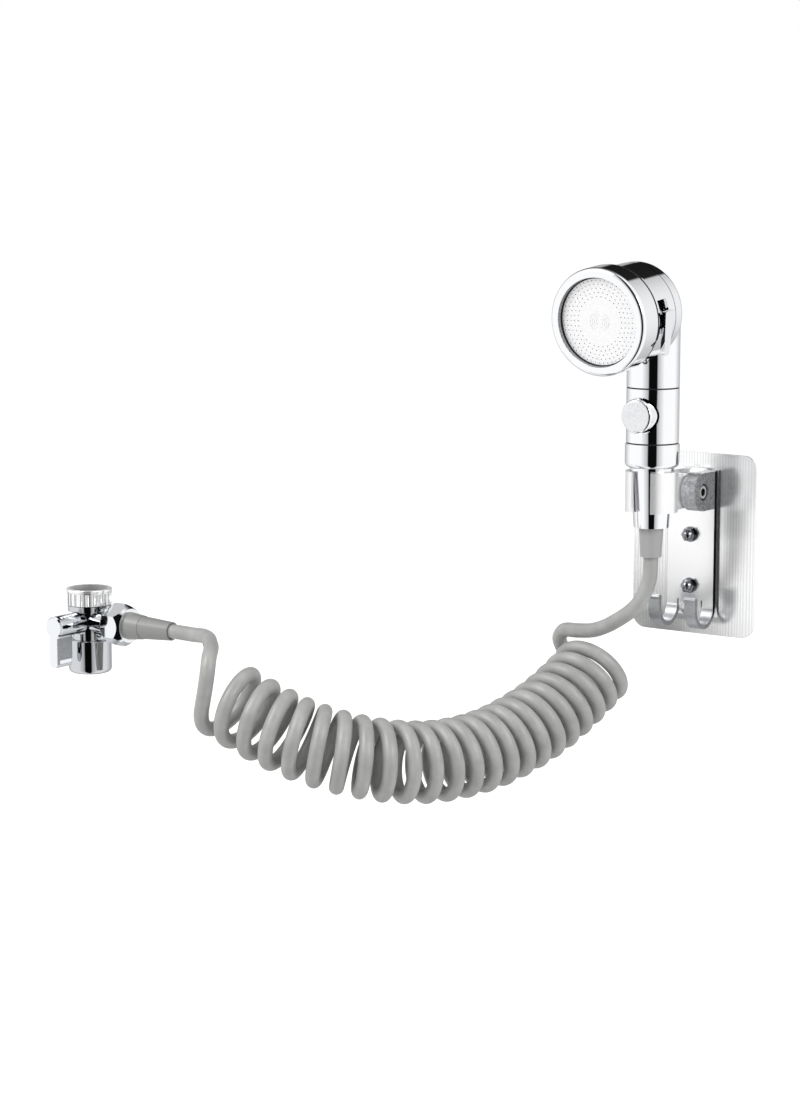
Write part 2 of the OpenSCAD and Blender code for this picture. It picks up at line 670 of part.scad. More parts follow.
module face_bezel() color("gainsboro") at_head() difference() {
    rotate_extrude() {
        rounded_profile(bezel_back + bezel_back_edge, face_out, bezel_r, bezel_edge);
        translate([0, bezel_back]) square([bezel_r - bezel_back_edge, bezel_h / 2]);
        translate([bezel_r - bezel_back_edge, bezel_back + bezel_back_edge]) circle(bezel_back_edge);
    }
    translate([0, 0, bezel_back - 1])
        cylinder(h = neck_spigot_end - bezel_back + 1.2, r = neck_spigot_r + slip);
    translate([0, 0, bezel_back]) cylinder(h = bezel_h - mouth_t, r = recess_r + slip);
    translate([0, 0, bezel_back]) cylinder(h = bezel_h + 1, r = recess_r - 0.2);
}

module spray_plate() color("white") at_head() difference() {
    translate([0, 0, plate_back]) cylinder(h = plate_t, r = plate_r);
    for (ring = [0 : hole_rings - 1]) let (count = 54 - 6 * ring) for (i = [0 : count - 1])
        rotate(360 * i / count) translate([outer_hole_r - ring * hole_pitch, 0, plate_back - 1])
            cylinder(h = plate_t + 2, r = hole_d / 2, $fn = 16);
    for (r = groove_rs) tube(
        plate_back + plate_t - groove_t / 2, plate_back + 2 * plate_t, r + groove_t / 2, r - groove_t / 2);
}

// ---- Hose --------------------------------------------------------------------------------
// The coil's middle line, from the tap's end to the handset's end.
coil_axis = [
    [-170, -214, -73], [-145, -210, -84], [-124, -203, -93], [-105, -191, -100], [-89, -175, -105],
    [-77, -155, -108], [-68, -133, -108], [-61, -111, -105], [-55, -90, -99], [-50, -70, -91],
    [-46, -51, -81], [-43, -33, -70]
];
coil_turns = 22.4;
curl_start = 100;                        // angle of the first point, from the top towards the room
curl_rings = 8;                          // rings in each curl
curl_sides = 6;

// The bare stretch from the tap's sleeve to the coil, and the one from the coil to the handset.
tap_route = [
    [-232, -175, -50], [-221, -176, -50], [-210, -180, -49], [-199, -189, -48], [-189, -200, -47],
    [-179, -212, -45], [-170, -222, -45], [-165, -230, -49], [-163, -234, -56]
];
handset_route = [
    [-67, -32, -62], [-67, -35, -57], [-64, -38, -53], [-59, -41, -50], [-49, -44, -49], [-37, -48, -47],
    [-26, -52, -43], [-17, -53, -38], [-9, -52, -32], [-4, -50, -25], [-1, -48, -16], [0, -48, -7]
];

// A smooth curve through the points of a list, where u counts the points.
function beyond(p, i) = i < 0 ? 2 * p[0] - p[1] : i >= len(p) ? 2 * p[len(p) - 1] - p[len(p) - 2] : p[i];
function curve_at(p, u) = let (i = min(floor(u), len(p) - 2), t = u - i,
    a = beyond(p, i - 1), b = p[i], c = p[i + 1], d = beyond(p, i + 2))
    0.5 * (2 * b + (c - a) * t + (2 * a - 5 * b + 4 * c - d) * t * t + (3 * b - a - 3 * c + d) * t * t * t);
function curve_dir(p, u) = unit(curve_at(p, min(u + 0.01, len(p) - 1)) - curve_at(p, max(u - 0.01, 0)));

// A point of the coil after a share s of its turns.
function curl_point(s) = let (u = s * (len(coil_axis) - 1), d = curve_dir(coil_axis, u),
    side = unit(cross(d, [0, 0, 1])), up = cross(side, d), a = curl_start + 360 * coil_turns * s)
    curve_at(coil_axis, u) + curl_r * (cos(a) * up + sin(a) * side);

coil_steps = floor(coil_turns * curl_rings);
curls = [for (i = [0 : coil_steps]) curl_point(i / coil_steps)];
coil_start_dir = unit(curl_point(0.0002) - curls[0]);
coil_end_dir = unit(curls[coil_steps] - curl_point(0.9998));
coil_start = curls[0] - hose_d * coil_start_dir;
coil_end = curls[coil_steps] + hose_d * coil_end_dir;
coil_path = concat([coil_start], curls, [coil_end]);

// Least distance between the middle lines of neighbouring turns, less the hose's diameter.
coil_gap = min([for (i = [0 : coil_steps - curl_rings]) for (j = [-2 : 2]) let (k = i + curl_rings + j)
    k <= coil_steps ? norm(curls[k] - curls[i]) : 1000]) - hose_d;
echo(least_gap_between_curls = coil_gap);

handset_socket = [0, -stand_off, sleeve_z + socket_depth];
union_face = body_r + 6.5;
sleeve_start = union_face + union_len;
tap_sleeve_end = sleeve_start + tap_sleeve_len;
tap_socket = [tap_x + tap_sleeve_end - socket_depth, -tap_out, port_z];
lead_sides = 10;
end_run = 4;                             // straight run of a bare stretch where it meets the coil

module hose_coil() color("darkgray") swept_tube(coil_path, hose_d / 2, curl_sides, [0, 0, 1]);

module hose_lead_tap() color("darkgray")
    swept_tube(concat([tap_socket], tap_route, [coil_start - end_run * coil_start_dir, coil_start]),
        hose_d / 2, lead_sides, [0, 0, 1]);

module hose_lead_handset() color("darkgray")
    swept_tube(concat([coil_end, coil_end + end_run * coil_end_dir], handset_route, [handset_socket]),
        hose_d / 2, lead_sides, [1, 0, 0]);

// ---- Diverter ----------------------------------------------------------------------------
// In the diverter's own frame z = 0 is the height of the outlet and of the lever's stem.

flange_top = 9.4;
flange_h = 3.3;
body_low = -10.2;
neck_r = 7.7;
rim_r = tap_thread_r - 0.3;              // the neck's rim inside the swivel nut
swivel_z = flange_top + play;
swivel_floor = 1.5;
rim_z = swivel_z + swivel_floor + play;
rim_t = 1.2;
swivel_lip = 2.1;                        // height of the swivel nut above its flutes
tap_washer_t = 1.5;
washer_top = rim_z + rim_t + tap_washer_t;
bore = 4.5;                              // radius of the waterways
chamber_r = 7.4;
ball_r = 6.8;
seat_z = 0.55 * ball_r;
slot_w = 2.1;                            // slot in the ball that the stem's tongue turns
slot_depth = 2.1;
stem_hole_r = 3.6;
recess_y = body_r - 1.2;                 // floor of the recess behind the lever's hub
stem_seal_ys = [recess_y - 0.7];
thread_low_r = body_r - 0.4;
thread_low_end = -16;
union_thread_r = 9;
union_end = union_face + 5;
union_flange_t = 2;
tap_flange_x = union_end + 0.2 + 1.6 + slip;

module at_tap() translate([tap_x, -tap_out, port_z]) children();

// Turns its children's z axis to +X, the way the outlet points.
module to_outlet() rotate([0, 90, 0]) children();

module diverter_body() color("silver") at_tap() difference() {
    union() {
        translate([0, 0, body_low]) cylinder(h = flange_top - body_low, r = body_r);
        translate([0, 0, flange_top - flange_h]) cylinder(h = flange_h, r = flange_r);
        translate([0, 0, flange_top - 1]) cylinder(h = rim_z - flange_top + 1 + eps, r = neck_r);
        translate([0, 0, rim_z]) cylinder(h = rim_t, r = rim_r);
        translate([0, 0, thread_low_end]) cylinder(h = body_low - thread_low_end + 1, r = thread_low_r);
        to_outlet() cylinder(h = union_face, r = union_thread_r - 0.8);
        to_outlet() translate([0, 0, union_face - 1])
            cylinder(h = union_end - union_face + 1, r = union_thread_r);
    }
    translate([0, 0, thread_low_end - 1]) cylinder(h = 50, r = bore);
    translate([0, 0, thread_low_end - 1]) cylinder(h = chamber_r - thread_low_end + 1, r = chamber_r);
    to_outlet() cylinder(h = 40, r = bore);
    outward(0, body_r + 3, stem_hole_r);
    outward(recess_y, body_r + 3, hub_r + 0.6);
}

module ball_seats() color("white") at_tap() {
    difference() {
        union() {
            tube(seat_z, chamber_r - slip, chamber_r - slip, bore);
            tube(thread_low_end + 0.5, -seat_z, chamber_r - slip, bore);
        }
        sphere(ball_r + slip);
    }
}

module diverter_ball() color("gainsboro") at_tap() difference() {
    sphere(ball_r);
    translate([0, 0, -ball_r - 1]) cylinder(h = 2 * ball_r + 2, r = bore - 0.6);
    mirror([1, 0, 0]) to_outlet() cylinder(h = ball_r + 1, r = bore - 0.6);
    translate([-ball_r, -ball_r - 1, -slot_w / 2]) cube([2 * ball_r, 1 + slot_depth, slot_w]);
}

module lever_stem() color("silver") at_tap() difference() {
    union() {
        outward(ball_r + slip, hub_out - 3, stem_hole_r - slip);
        translate([-stem_hole_r + 0.8, -ball_r - 1, -slot_w / 2 + slip])
            cube([2 * stem_hole_r - 1.6, 1 + slot_depth - slip, slot_w - 2 * slip]);
    }
    for (y = stem_seal_ys) difference() {
        outward(y - 0.75, y + 0.75, stem_hole_r + 1);
        outward(y - 2, y + 2, stem_hole_r - 1.5);
    }
}

module stem_seals() color("black") at_tap()
    for (y = stem_seal_ys) translate([0, -y, 0]) rotate([90, 0, 0]) rotate_extrude()
        translate([stem_hole_r - 0.05 - 0.65, 0]) circle(0.65, $fn = 16);

hub_back = recess_y + play;
groove_z = -blade_drop + 2.3;           // bottom of the groove in the blade's side
groove_h = 2.3;

module diverter_lever() color("gainsboro") at_tap() difference() {
    union() {
        outward(hub_back, hub_out - 1, hub_r);
        outward(hub_out - 1 - eps, hub_out, hub_r, hub_r - 0.8);
        translate([-blade_w / 2, -hub_out, -blade_drop + blade_w / 2])
            cube([blade_w, blade_depth, blade_drop - blade_w / 2]);
        translate([0, 0, -blade_drop + blade_w / 2]) outward(hub_out - blade_depth, hub_out, blade_w / 2);
    }
    outward(0, hub_out - 3 + slip, stem_hole_r + slip);
    translate([-blade_w / 2 + 1.4, -hub_out + 2.2, -blade_drop + 5])
        cube([blade_w - 2.8, blade_depth, blade_drop - hub_r - 6]);
    translate([blade_w / 2 - 1, -hub_out + 2, groove_z]) cube([2, blade_depth, groove_h]);
}

module swivel_nut() color("gainsboro") at_tap() difference() {
    union() {
        translate([0, 0, swivel_z]) cylinder(h = swivel_h, r = swivel_r - 0.9);
        for (i = [0 : flute_count - 1]) rotate(360 * i / flute_count)
            translate([swivel_r - 1, 0, swivel_z + 0.3]) cylinder(h = swivel_h - 0.6, r = 1, $fn = 16);
        translate([0, 0, swivel_z + swivel_h - eps]) cylinder(h = swivel_lip, r = swivel_r - 1.3);
        rotate_extrude() rounded_profile(
            swivel_z + swivel_h + 0.5, swivel_z + swivel_h + swivel_lip, swivel_r - 0.1, 0.5);
    }
    translate([0, 0, swivel_z - 1]) cylinder(h = 30, r = neck_r + play);
    translate([0, 0, swivel_z + swivel_floor])
        cylinder(h = washer_top - swivel_z - swivel_floor, r = tap_thread_r + 0.3);
    translate([0, 0, washer_top - eps]) cylinder(h = 30, r = tap_thread_r);
}

module tap_washer() color("black") at_tap()
    tube(rim_z + rim_t, washer_top, rim_r - 0.1, bore + 1.5);

cup_edge = 2.6;                          // rounding of the cup's lower edge

module outlet_cup() color("gainsboro") at_tap() {
    top = body_low - 0.2;
    low = top - cup_h;
    difference() {
        union() {
            rotate_extrude() rounded_profile(low + cup_edge, top, cup_r, 0.8);
            rotate_extrude() mirror([0, 1, 0]) rounded_profile(-low - cup_h / 2, -low, cup_r, cup_edge);
        }
        translate([0, 0, low - 1]) cylinder(h = cup_h + 2, r = cup_r - 2.8);
        translate([0, 0, thread_low_end - 0.5]) cylinder(h = 20, r = thread_low_r + slip);
    }
}

module aerator() color("white") at_tap() {
    top = thread_low_end - 0.6;
    difference() {
        translate([0, 0, top - 6]) cylinder(h = 6, r = cup_r - 2.8 - slip);
        translate([0, 0, top - 4]) cylinder(h = 6, r = cup_r - 4.2);
        for (ring = [1 : 3]) for (i = [0 : 6 * ring - 1]) rotate(360 * i / (6 * ring))
            translate([ring * 2.3, 0, top - 7]) cylinder(h = 5, r = 0.8, $fn = 16);
    }
}

module union_washer() color("black") at_tap() to_outlet()
    tube(union_end + 0.2, union_end + 1.8, union_thread_r - 0.2, bore + 0.5);

module tap_tail() color("goldenrod") at_tap() to_outlet() difference() {
    union() {
        translate([0, 0, tap_flange_x]) cylinder(h = union_flange_t, r = union_thread_r - 0.2);
        translate([0, 0, tap_flange_x]) cylinder(h = tap_sleeve_end - socket_depth - tap_flange_x, r = barb_r);
    }
    translate([0, 0, tap_flange_x - 1]) cylinder(h = tap_sleeve_end - tap_flange_x, r = barb_r - 1);
}

sleeve_big_r = 7.9;
sleeve_step = 10;                        // length of the thick end beyond the nut

module tap_sleeve() color("darkgray") at_tap() to_outlet() {
    z0 = tap_flange_x + union_flange_t + slip;
    difference() {
        union() {
            translate([0, 0, z0]) cylinder(h = sleeve_start - z0 + eps, r = sleeve_big_r);
            translate([0, 0, sleeve_start])
                cylinder(h = sleeve_step, r1 = sleeve_big_r, r2 = sleeve_big_r - 1.1);
            translate([0, 0, sleeve_start + sleeve_step - eps]) cylinder(
                h = tap_sleeve_len - sleeve_step + eps, r1 = sleeve_big_r - 1.4, r2 = sleeve_big_r - 2.6);
        }
        translate([0, 0, z0 - 1]) cylinder(h = tap_sleeve_end - z0 + 2, r = barb_r + slip);
        translate([0, 0, tap_sleeve_end - socket_depth]) cylinder(h = 10, r = socket_r);
    }
}

union_chamfer_in = 4;
union_chamfer_out = 4.5;

module union_nut() color("gainsboro") at_tap() to_outlet() difference() {
    corner = union_flats / 2 / cos(30);
    intersection() {
        translate([0, 0, union_face + play]) cylinder(h = union_len - play, r = corner, $fn = 6);
        union() {
            translate([0, 0, union_face])
                cylinder(h = union_chamfer_in, r1 = union_flats / 2 - 0.6, r2 = corner + 0.4);
            translate([0, 0, union_face + union_chamfer_in - eps])
                cylinder(h = union_len - union_chamfer_in - union_chamfer_out + 2 * eps, r = corner + 0.4);
            translate([0, 0, sleeve_start - union_chamfer_out])
                cylinder(h = union_chamfer_out + eps, r1 = corner + 0.4, r2 = union_flats / 2 - 1);
        }
    }
    translate([0, 0, union_face - 1]) cylinder(h = union_len + 2, r = sleeve_big_r + slip);
    translate([0, 0, union_face - 1]) cylinder(
        h = tap_flange_x + union_flange_t + slip - union_face + 1, r = union_thread_r + slip);
}

// ---- Nodes -------------------------------------------------------------------------------

adhesive_sheet();
wall_studs();
holder_bracket();
stud_washers();
acorn_nuts();
pivot_screw();
pivot_nut();
friction_washers();
holder_clamp();
cone_nut();
hose_washer();
handle_collar();
inlet_screen();
seam_gaskets();
button_body();
stop_button();
button_spool();
spool_seals();
button_spring();
head_body();
mode_housing();
mode_disc();
mode_lever();
lever_ring();
bezel_seal();
flow_disc();
plate_gasket();
face_bezel();
spray_plate();
handset_sleeve();
handset_tail();
hose_lead_handset();
hose_coil();
hose_lead_tap();
tap_sleeve();
tap_tail();
swivel_nut();
tap_washer();
diverter_body();
ball_seats();
diverter_ball();
lever_stem();
stem_seals();
diverter_lever();
outlet_cup();
aerator();
union_washer();
union_nut();
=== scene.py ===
"""Finishes, hose and studio of a handheld bath sprayer with its wall holder and tap diverter.

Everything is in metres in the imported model's frame: the wall is y = 0, -Y points into the room, +Z is up.
"""
import json
import math

import bmesh
import bpy
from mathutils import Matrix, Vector

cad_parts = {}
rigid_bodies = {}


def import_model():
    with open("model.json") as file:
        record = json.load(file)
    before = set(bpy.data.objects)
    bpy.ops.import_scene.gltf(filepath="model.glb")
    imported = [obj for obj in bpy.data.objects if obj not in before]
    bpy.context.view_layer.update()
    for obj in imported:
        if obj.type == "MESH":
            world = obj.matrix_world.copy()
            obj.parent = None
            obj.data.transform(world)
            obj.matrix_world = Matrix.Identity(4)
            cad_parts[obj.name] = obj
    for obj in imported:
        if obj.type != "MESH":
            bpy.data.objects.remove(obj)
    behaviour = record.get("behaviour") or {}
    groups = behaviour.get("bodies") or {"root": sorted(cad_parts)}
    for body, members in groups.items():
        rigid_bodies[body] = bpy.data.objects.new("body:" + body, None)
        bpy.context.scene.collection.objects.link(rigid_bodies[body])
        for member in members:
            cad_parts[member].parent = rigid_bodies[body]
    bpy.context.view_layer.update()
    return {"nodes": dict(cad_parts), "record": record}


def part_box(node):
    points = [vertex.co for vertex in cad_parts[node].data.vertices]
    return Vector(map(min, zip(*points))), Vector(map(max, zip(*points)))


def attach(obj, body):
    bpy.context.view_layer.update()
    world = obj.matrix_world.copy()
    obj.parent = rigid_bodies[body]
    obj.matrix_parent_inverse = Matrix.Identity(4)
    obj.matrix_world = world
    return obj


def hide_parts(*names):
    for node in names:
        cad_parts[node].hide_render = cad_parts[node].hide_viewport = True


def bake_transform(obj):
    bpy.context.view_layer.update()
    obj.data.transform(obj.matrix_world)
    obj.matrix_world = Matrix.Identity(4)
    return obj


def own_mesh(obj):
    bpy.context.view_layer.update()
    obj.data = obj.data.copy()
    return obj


bl_info = {
    "name": "Handheld Bath Sprayer",
    "version": (1, 0, 0),
    "blender": (4, 5, 0),
    "location": "3D View > Sidebar > Sprayer",
    "description": "Dresses the packed sprayer model with its finishes, hose and studio",
    "category": "Object",
}

for leftover in list(bpy.data.objects):
    bpy.data.objects.remove(leftover)

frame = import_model()
NODES = frame["nodes"]
MM = 0.001
JOINTS = {joint["name"]: joint for joint in frame["record"]["behaviour"]["joints"]}
HEAD_MIDDLE = Vector(JOINTS["mode_lever_turn"]["pos_m"])
HEAD_AXIS = Vector(JOINTS["mode_lever_turn"]["axis"]).normalized()

FACE_SKIN = 0.1 * MM              # the strip's finish starts this far in front of its face
SIDE_SHADE_SKIN = 0.15 * MM             # the strip's side edges and the lugs' ends get their painted shade this far in
BUTTON_RIM = 0.12 * MM            # depth of the button's flat face, behind which its rim is rounded
GASKET_LIP = 1.3 * MM             # depth of the grey lip at the gasket's front; behind it the gasket is painted black as shade
SEAM_SHADE_WIDTH = 0.6 * MM              # width of the painted shade along the drum's rear seam
BLADE_TOP = 0.3 * MM              # the lever's blade reaches this far above the lowest point of its hub
LEVER_FRONT = 1.5 * MM            # depth of the lever's bright front
BLADE_SIDE = 2.8 * MM             # the blade's +X side, painted grey as shade, lies at least this far from the hub's axis
UPRIGHT_WIPES = 0.25              # scale along Z that draws the haze on brass out by 4
UPRIGHT_LINES = 0.012             # scale along Z that draws the film's lines out by 83
MERGE_REACH = 0.001 * MM          # points closer than this are one


# ---- Colours and shader nodes -----------------------------------------------------------------

def linear(code):
    """A hex colour such as #e6e8ea as linear RGBA."""
    channels = [int(code[i:i + 2], 16) / 255 for i in (1, 3, 5)]
    return (*[c / 12.92 if c <= 0.04045 else ((c + 0.055) / 1.055) ** 2.4 for c in channels], 1.0)


def as_colour(value):
    """Linear RGBA of a hex colour, a grey level or a colour that is linear already."""
    if isinstance(value, str):
        return linear(value)
    return tuple(value) if hasattr(value, "__len__") else (value, value, value, 1.0)


def add_node(tree, kind, settings=None, links=None):
    """Adds a node. A setting is an input's name or number, or else one of the node's own values."""
    node = tree.nodes.new(kind)
    for key, value in (settings or {}).items():
        if isinstance(key, int) or key in node.inputs:
            node.inputs[key].default_value = value
        else:
            setattr(node, key, value)
    for key, output in (links or {}).items():
        tree.links.new(output, node.inputs[key])
    return node


def set_stops(ramp, stops):
    """Gives a colour ramp node its stops, each a place from 0 to 1 and what as_colour takes."""
    elements = ramp.color_ramp.elements
    while len(elements) > 1:
        elements.remove(elements[-1])
    for i, (place, value) in enumerate(stops):
        element = elements[0] if i == 0 else elements.new(place)
        element.position = place
        element.color = as_colour(value)


def new_finish(name, colour=None, **sockets):
    """A material with a Principled shader, and the coordinates that its patterns read.

    It gets a colour and sockets here only where they are plain, and not where a pattern drives them.
    """
    if colour is not None:
        sockets["Base Color"] = as_colour(colour)
    material = bpy.data.materials.new(name)
    material.use_nodes = True
    tree = material.node_tree
    tree.nodes.clear()
    shader = add_node(tree, "ShaderNodeBsdfPrincipled", sockets)
    add_node(tree, "ShaderNodeOutputMaterial", links={"Surface": shader.outputs["BSDF"]})
    place = add_node(tree, "ShaderNodeTexCoord").outputs["Object"]
    return material, tree, shader, place


def per_mm(size):
    """Noise scale whose cells are about that many millimetres wide."""
    return 1 / (size * MM)


def wave_mm(period):
    """Wave texture scale whose bands are that many millimetres apart."""
    return 2 * math.pi / (20 * period * MM)


# ---- Patterns that the finishes share ---------------------------------------------------------
# Their cells are millimetres wide. Real grain is finer, so a cell is as wide as it takes to show.

def grained(tree, shader, vector, cell, detail, strength, depth, **noise):
    """Raises a grain on the surface by a depth in millimetres."""
    grain = add_node(tree, "ShaderNodeTexNoise", {"Scale": per_mm(cell), "Detail": detail, **noise},
                     {"Vector": vector})
    bump = add_node(tree, "ShaderNodeBump", {"Strength": strength, "Distance": depth * MM},
                    {"Height": grain.outputs["Fac"]})
    tree.links.new(bump.outputs["Normal"], shader.inputs["Normal"])


def worn_gloss(tree, shader, vector, cell, detail, low, high, span=(0.0, 1.0)):
    """Varies the roughness from low to high in patches. The span is the part of the noise that it follows."""
    patches = add_node(tree, "ShaderNodeTexNoise", {"Scale": per_mm(cell), "Detail": detail},
                       {"Vector": vector})
    sheen = add_node(tree, "ShaderNodeMapRange",
                     {"From Min": span[0], "From Max": span[1], "To Min": low, "To Max": high},
                     {"Value": patches.outputs["Fac"]})
    tree.links.new(sheen.outputs["Result"], shader.inputs["Roughness"])


def mottled(tree, vector, cell, detail, stops):
    """A colour that goes through the stops in patches."""
    patches = add_node(tree, "ShaderNodeTexNoise", {"Scale": per_mm(cell), "Detail": detail},
                       {"Vector": vector})
    shade = add_node(tree, "ShaderNodeValToRGB", links={"Fac": patches.outputs["Fac"]})
    set_stops(shade, stops)
    return shade.outputs["Color"]


def region(tree, *tests):
    """A mask that is 1 where every test holds: a value, LESS_THAN or GREATER_THAN, and a limit."""
    masks = []
    for value, comparison, limit in tests:
        test = add_node(tree, "ShaderNodeMath", {"operation": comparison, 1: limit}, {0: value})
        masks.append(test.outputs["Value"])
    mask = masks[0]
    for other in masks[1:]:
        both = add_node(tree, "ShaderNodeMath", {"operation": "MULTIPLY"}, {0: mask, 1: other})
        mask = both.outputs["Value"]
    return mask


def paint(tree, shader, colour, *layers):
    """Colours the shader, with others laid over the first. A layer is a mask and what shows where it is 1."""
    under_input, over_input, mixed_output = 6, 7, 2
    for mask, over in layers:
        mix = add_node(tree, "ShaderNodeMix", {"data_type": "RGBA"}, {0: mask})
        for key, value in ((under_input, colour), (over_input, over)):
            if isinstance(value, bpy.types.NodeSocket):
                tree.links.new(value, mix.inputs[key])
            else:
                mix.inputs[key].default_value = as_colour(value)
        colour = mix.outputs[mixed_output]
    tree.links.new(colour, shader.inputs["Base Color"])


def head_depth(tree, place):
    """How far a point lies in front of the head's middle, along its axis."""
    from_middle = add_node(tree, "ShaderNodeVectorMath", {"operation": "SUBTRACT", 1: tuple(HEAD_MIDDLE)},
                           {0: place})
    depth = add_node(tree, "ShaderNodeVectorMath", {"operation": "DOT_PRODUCT", 1: tuple(HEAD_AXIS)},
                     {0: from_middle.outputs["Vector"]})
    return depth.outputs["Value"]


def head_depths_of(name):
    """The same for every point of a CAD node."""
    return [(vertex.co - HEAD_MIDDLE).dot(HEAD_AXIS) for vertex in NODES[name].data.vertices]


# ---- Finishes ---------------------------------------------------------------------------------

def chrome_on_abs(name="chrome_plated_abs", seam_behind=None):
    """Bright chrome plated on moulded ABS: mirror sharp, with the faint swell of the moulding under it.

    A band along the seam behind a named node is painted darker, as painted shade in the seam.
    """
    finish = bpy.context.scene.sprayer_finish
    material, tree, shader, place = new_finish(name, finish.bright_chrome, Metallic=1.0)
    if seam_behind:
        back = min(head_depths_of(seam_behind))
        # painted shade: a darker band along the drum's rear seam
        seam = region(tree, (head_depth(tree, place), "LESS_THAN", back + SEAM_SHADE_WIDTH))
        paint(tree, shader, finish.bright_chrome, (seam, "#6f7174"))
    grained(tree, shader, place, cell=14, detail=1.0, strength=0.05, depth=0.2)
    worn_gloss(tree, shader, place, cell=3, detail=4.0, low=0.035, high=0.075, span=(0.45, 0.8))
    return material


def button_chrome():
    """Chrome of the stop button: its face is lightly blasted, its rounded rim stays bright."""
    finish = bpy.context.scene.sprayer_finish
    material, tree, shader, place = new_finish("button_chrome", Metallic=1.0)
    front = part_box("stop_button")[0][1]
    part = add_node(tree, "ShaderNodeSeparateXYZ", links={"Vector": place})
    face = region(tree, (part.outputs["Y"], "LESS_THAN", front + BUTTON_RIM))
    blasted = mottled(tree, place, cell=1.0, detail=3.0, stops=[(0.35, "#dcdde0"), (0.65, "#e8e9eb")])
    paint(tree, shader, finish.bright_chrome, (face, blasted))
    sheen = add_node(tree, "ShaderNodeMapRange", {"To Min": 0.05, "To Max": 0.3}, {"Value": face})
    tree.links.new(sheen.outputs["Result"], shader.inputs["Roughness"])
    return material


def chrome_on_brass(name, colour):
    """Bright chrome plated on cast brass: polished by hand, so its haze runs in faint short wipes."""
    material, tree, shader, place = new_finish(name, colour, Metallic=1.0)
    upright = add_node(tree, "ShaderNodeMapping", {"Scale": (1.0, 1.0, UPRIGHT_WIPES)}, {"Vector": place})
    worn_gloss(tree, shader, upright.outputs["Vector"], cell=1.2, detail=3.0, low=0.04, high=0.1,
               span=(0.4, 0.8))
    return material


def satin_chrome():
    """Satin chrome on the moulded clamp: broad soft reflections with a very fine even grain."""
    finish = bpy.context.scene.sprayer_finish
    material, tree, shader, place = new_finish(
        "satin_chrome", finish.satin_chrome, Metallic=0.6, Roughness=0.28)
    grained(tree, shader, place, cell=0.6, detail=2.0, strength=0.12, depth=0.03)
    return material


def bracket_aluminium():
    """Anodised aluminium: a bright rolled face and bead-blasted grey lugs and hooks, with painted shade: the
    strip's side edges are near black for the shadow behind them, and the lugs' ends are a darker grey than
    their barrels.

    The blasting's grain is drawn at 1.2 mm so that it shows.
    """
    finish = bpy.context.scene.sprayer_finish
    material, tree, shader, place = new_finish("anodised_aluminium")
    part = add_node(tree, "ShaderNodeSeparateXYZ", links={"Vector": place})
    side = add_node(tree, "ShaderNodeMath", {"operation": "ABSOLUTE"}, {0: part.outputs["X"]})
    at_strip = (part.outputs["Y"], "GREATER_THAN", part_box("stud_washers")[1][1] - FACE_SKIN)
    at_side = (side.outputs["Value"], "GREATER_THAN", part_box("holder_bracket")[1][0] - SIDE_SHADE_SKIN)
    strip = region(tree, at_strip)
    # painted shade: the strip's side faces are near black, for the shadow in the gap behind the strip
    edge = region(tree, at_strip, at_side)
    lug_end = region(tree, at_side, (part.outputs["Z"], "GREATER_THAN", 0.0))
    hook = region(tree, (part.outputs["Z"], "LESS_THAN", 0.0))

    grain = add_node(tree, "ShaderNodeTexNoise", {"Scale": per_mm(1.2), "Detail": 4.0, "Roughness": 0.7},
                     {"Vector": place}).outputs["Fac"]
    shades = []
    for dark, pale in (("#a9abae", "#dcdde0"), ("#808285", "#c4c5c8"), ("#a3a5a8", "#b4b6b9")):
        shade = add_node(tree, "ShaderNodeValToRGB", links={"Fac": grain})
        set_stops(shade, [(0.38, dark), (0.62, pale)])
        shades.append(shade.outputs["Color"])
    on_barrel, on_end, on_hook = shades
    # painted shade: the lugs' ends take a darker grey than their barrels, and the strip's sides near black
    paint(tree, shader, on_barrel, (lug_end, on_end), (hook, on_hook), (strip, finish.aluminium),
          (edge, "#2c2d30"))
    bump = add_node(tree, "ShaderNodeBump", {"Distance": 0.08 * MM}, {"Height": grain})
    tree.links.new(bump.outputs["Normal"], shader.inputs["Normal"])
    for node, key, mask, outside, inside in (
            (bump, "Strength", lug_end, 0.04, 0.35), (shader, "Roughness", strip, 0.36, 0.26),
            (shader, "Metallic", strip, 0.6, 1.0)):
        level = add_node(tree, "ShaderNodeMapRange", {"To Min": outside, "To Max": inside}, {"Value": mask})
        tree.links.new(level.outputs["Result"], node.inputs[key])
    return material


def brushed_film():
    """Metallised adhesive film: a brushed print of upright lines, in bands, that smears what it mirrors.

    Its lines are drawn at 0.7 mm and its bands at 1.8 mm so that they show.
    """
    finish = bpy.context.scene.sprayer_finish
    material, tree, shader, place = new_finish("brushed_film", Metallic=0.9, Roughness=0.19)
    upright = add_node(tree, "ShaderNodeMapping", {"Scale": (1.0, 1.0, UPRIGHT_LINES)}, {"Vector": place})
    grained(tree, shader, upright.outputs["Vector"], cell=0.7, detail=4.0, strength=0.25, depth=0.08,
            Roughness=0.7)
    bands = add_node(tree, "ShaderNodeTexWave", {"Scale": wave_mm(1.8), "Distortion": 3.0, "Detail": 2.0},
                     {"Vector": upright.outputs["Vector"]})
    shade = add_node(tree, "ShaderNodeValToRGB", links={"Fac": bands.outputs["Fac"]})
    set_stops(shade, [(0.2, "#eff0f0"), (0.8, finish.film)])
    tree.links.new(shade.outputs["Color"], shader.inputs["Base Color"])
    return material


def polished_stainless():
    """Tumbled stainless steel of the studs, washers and nuts, softer than chrome. Its colour is painted dark
    as shade, for the dark surroundings that these parts mirror.
    """
    finish = bpy.context.scene.sprayer_finish
    material, tree, shader, place = new_finish("polished_stainless", finish.stainless, Metallic=1.0)
    worn_gloss(tree, shader, place, cell=1.5, detail=3.0, low=0.08, high=0.18)
    return material


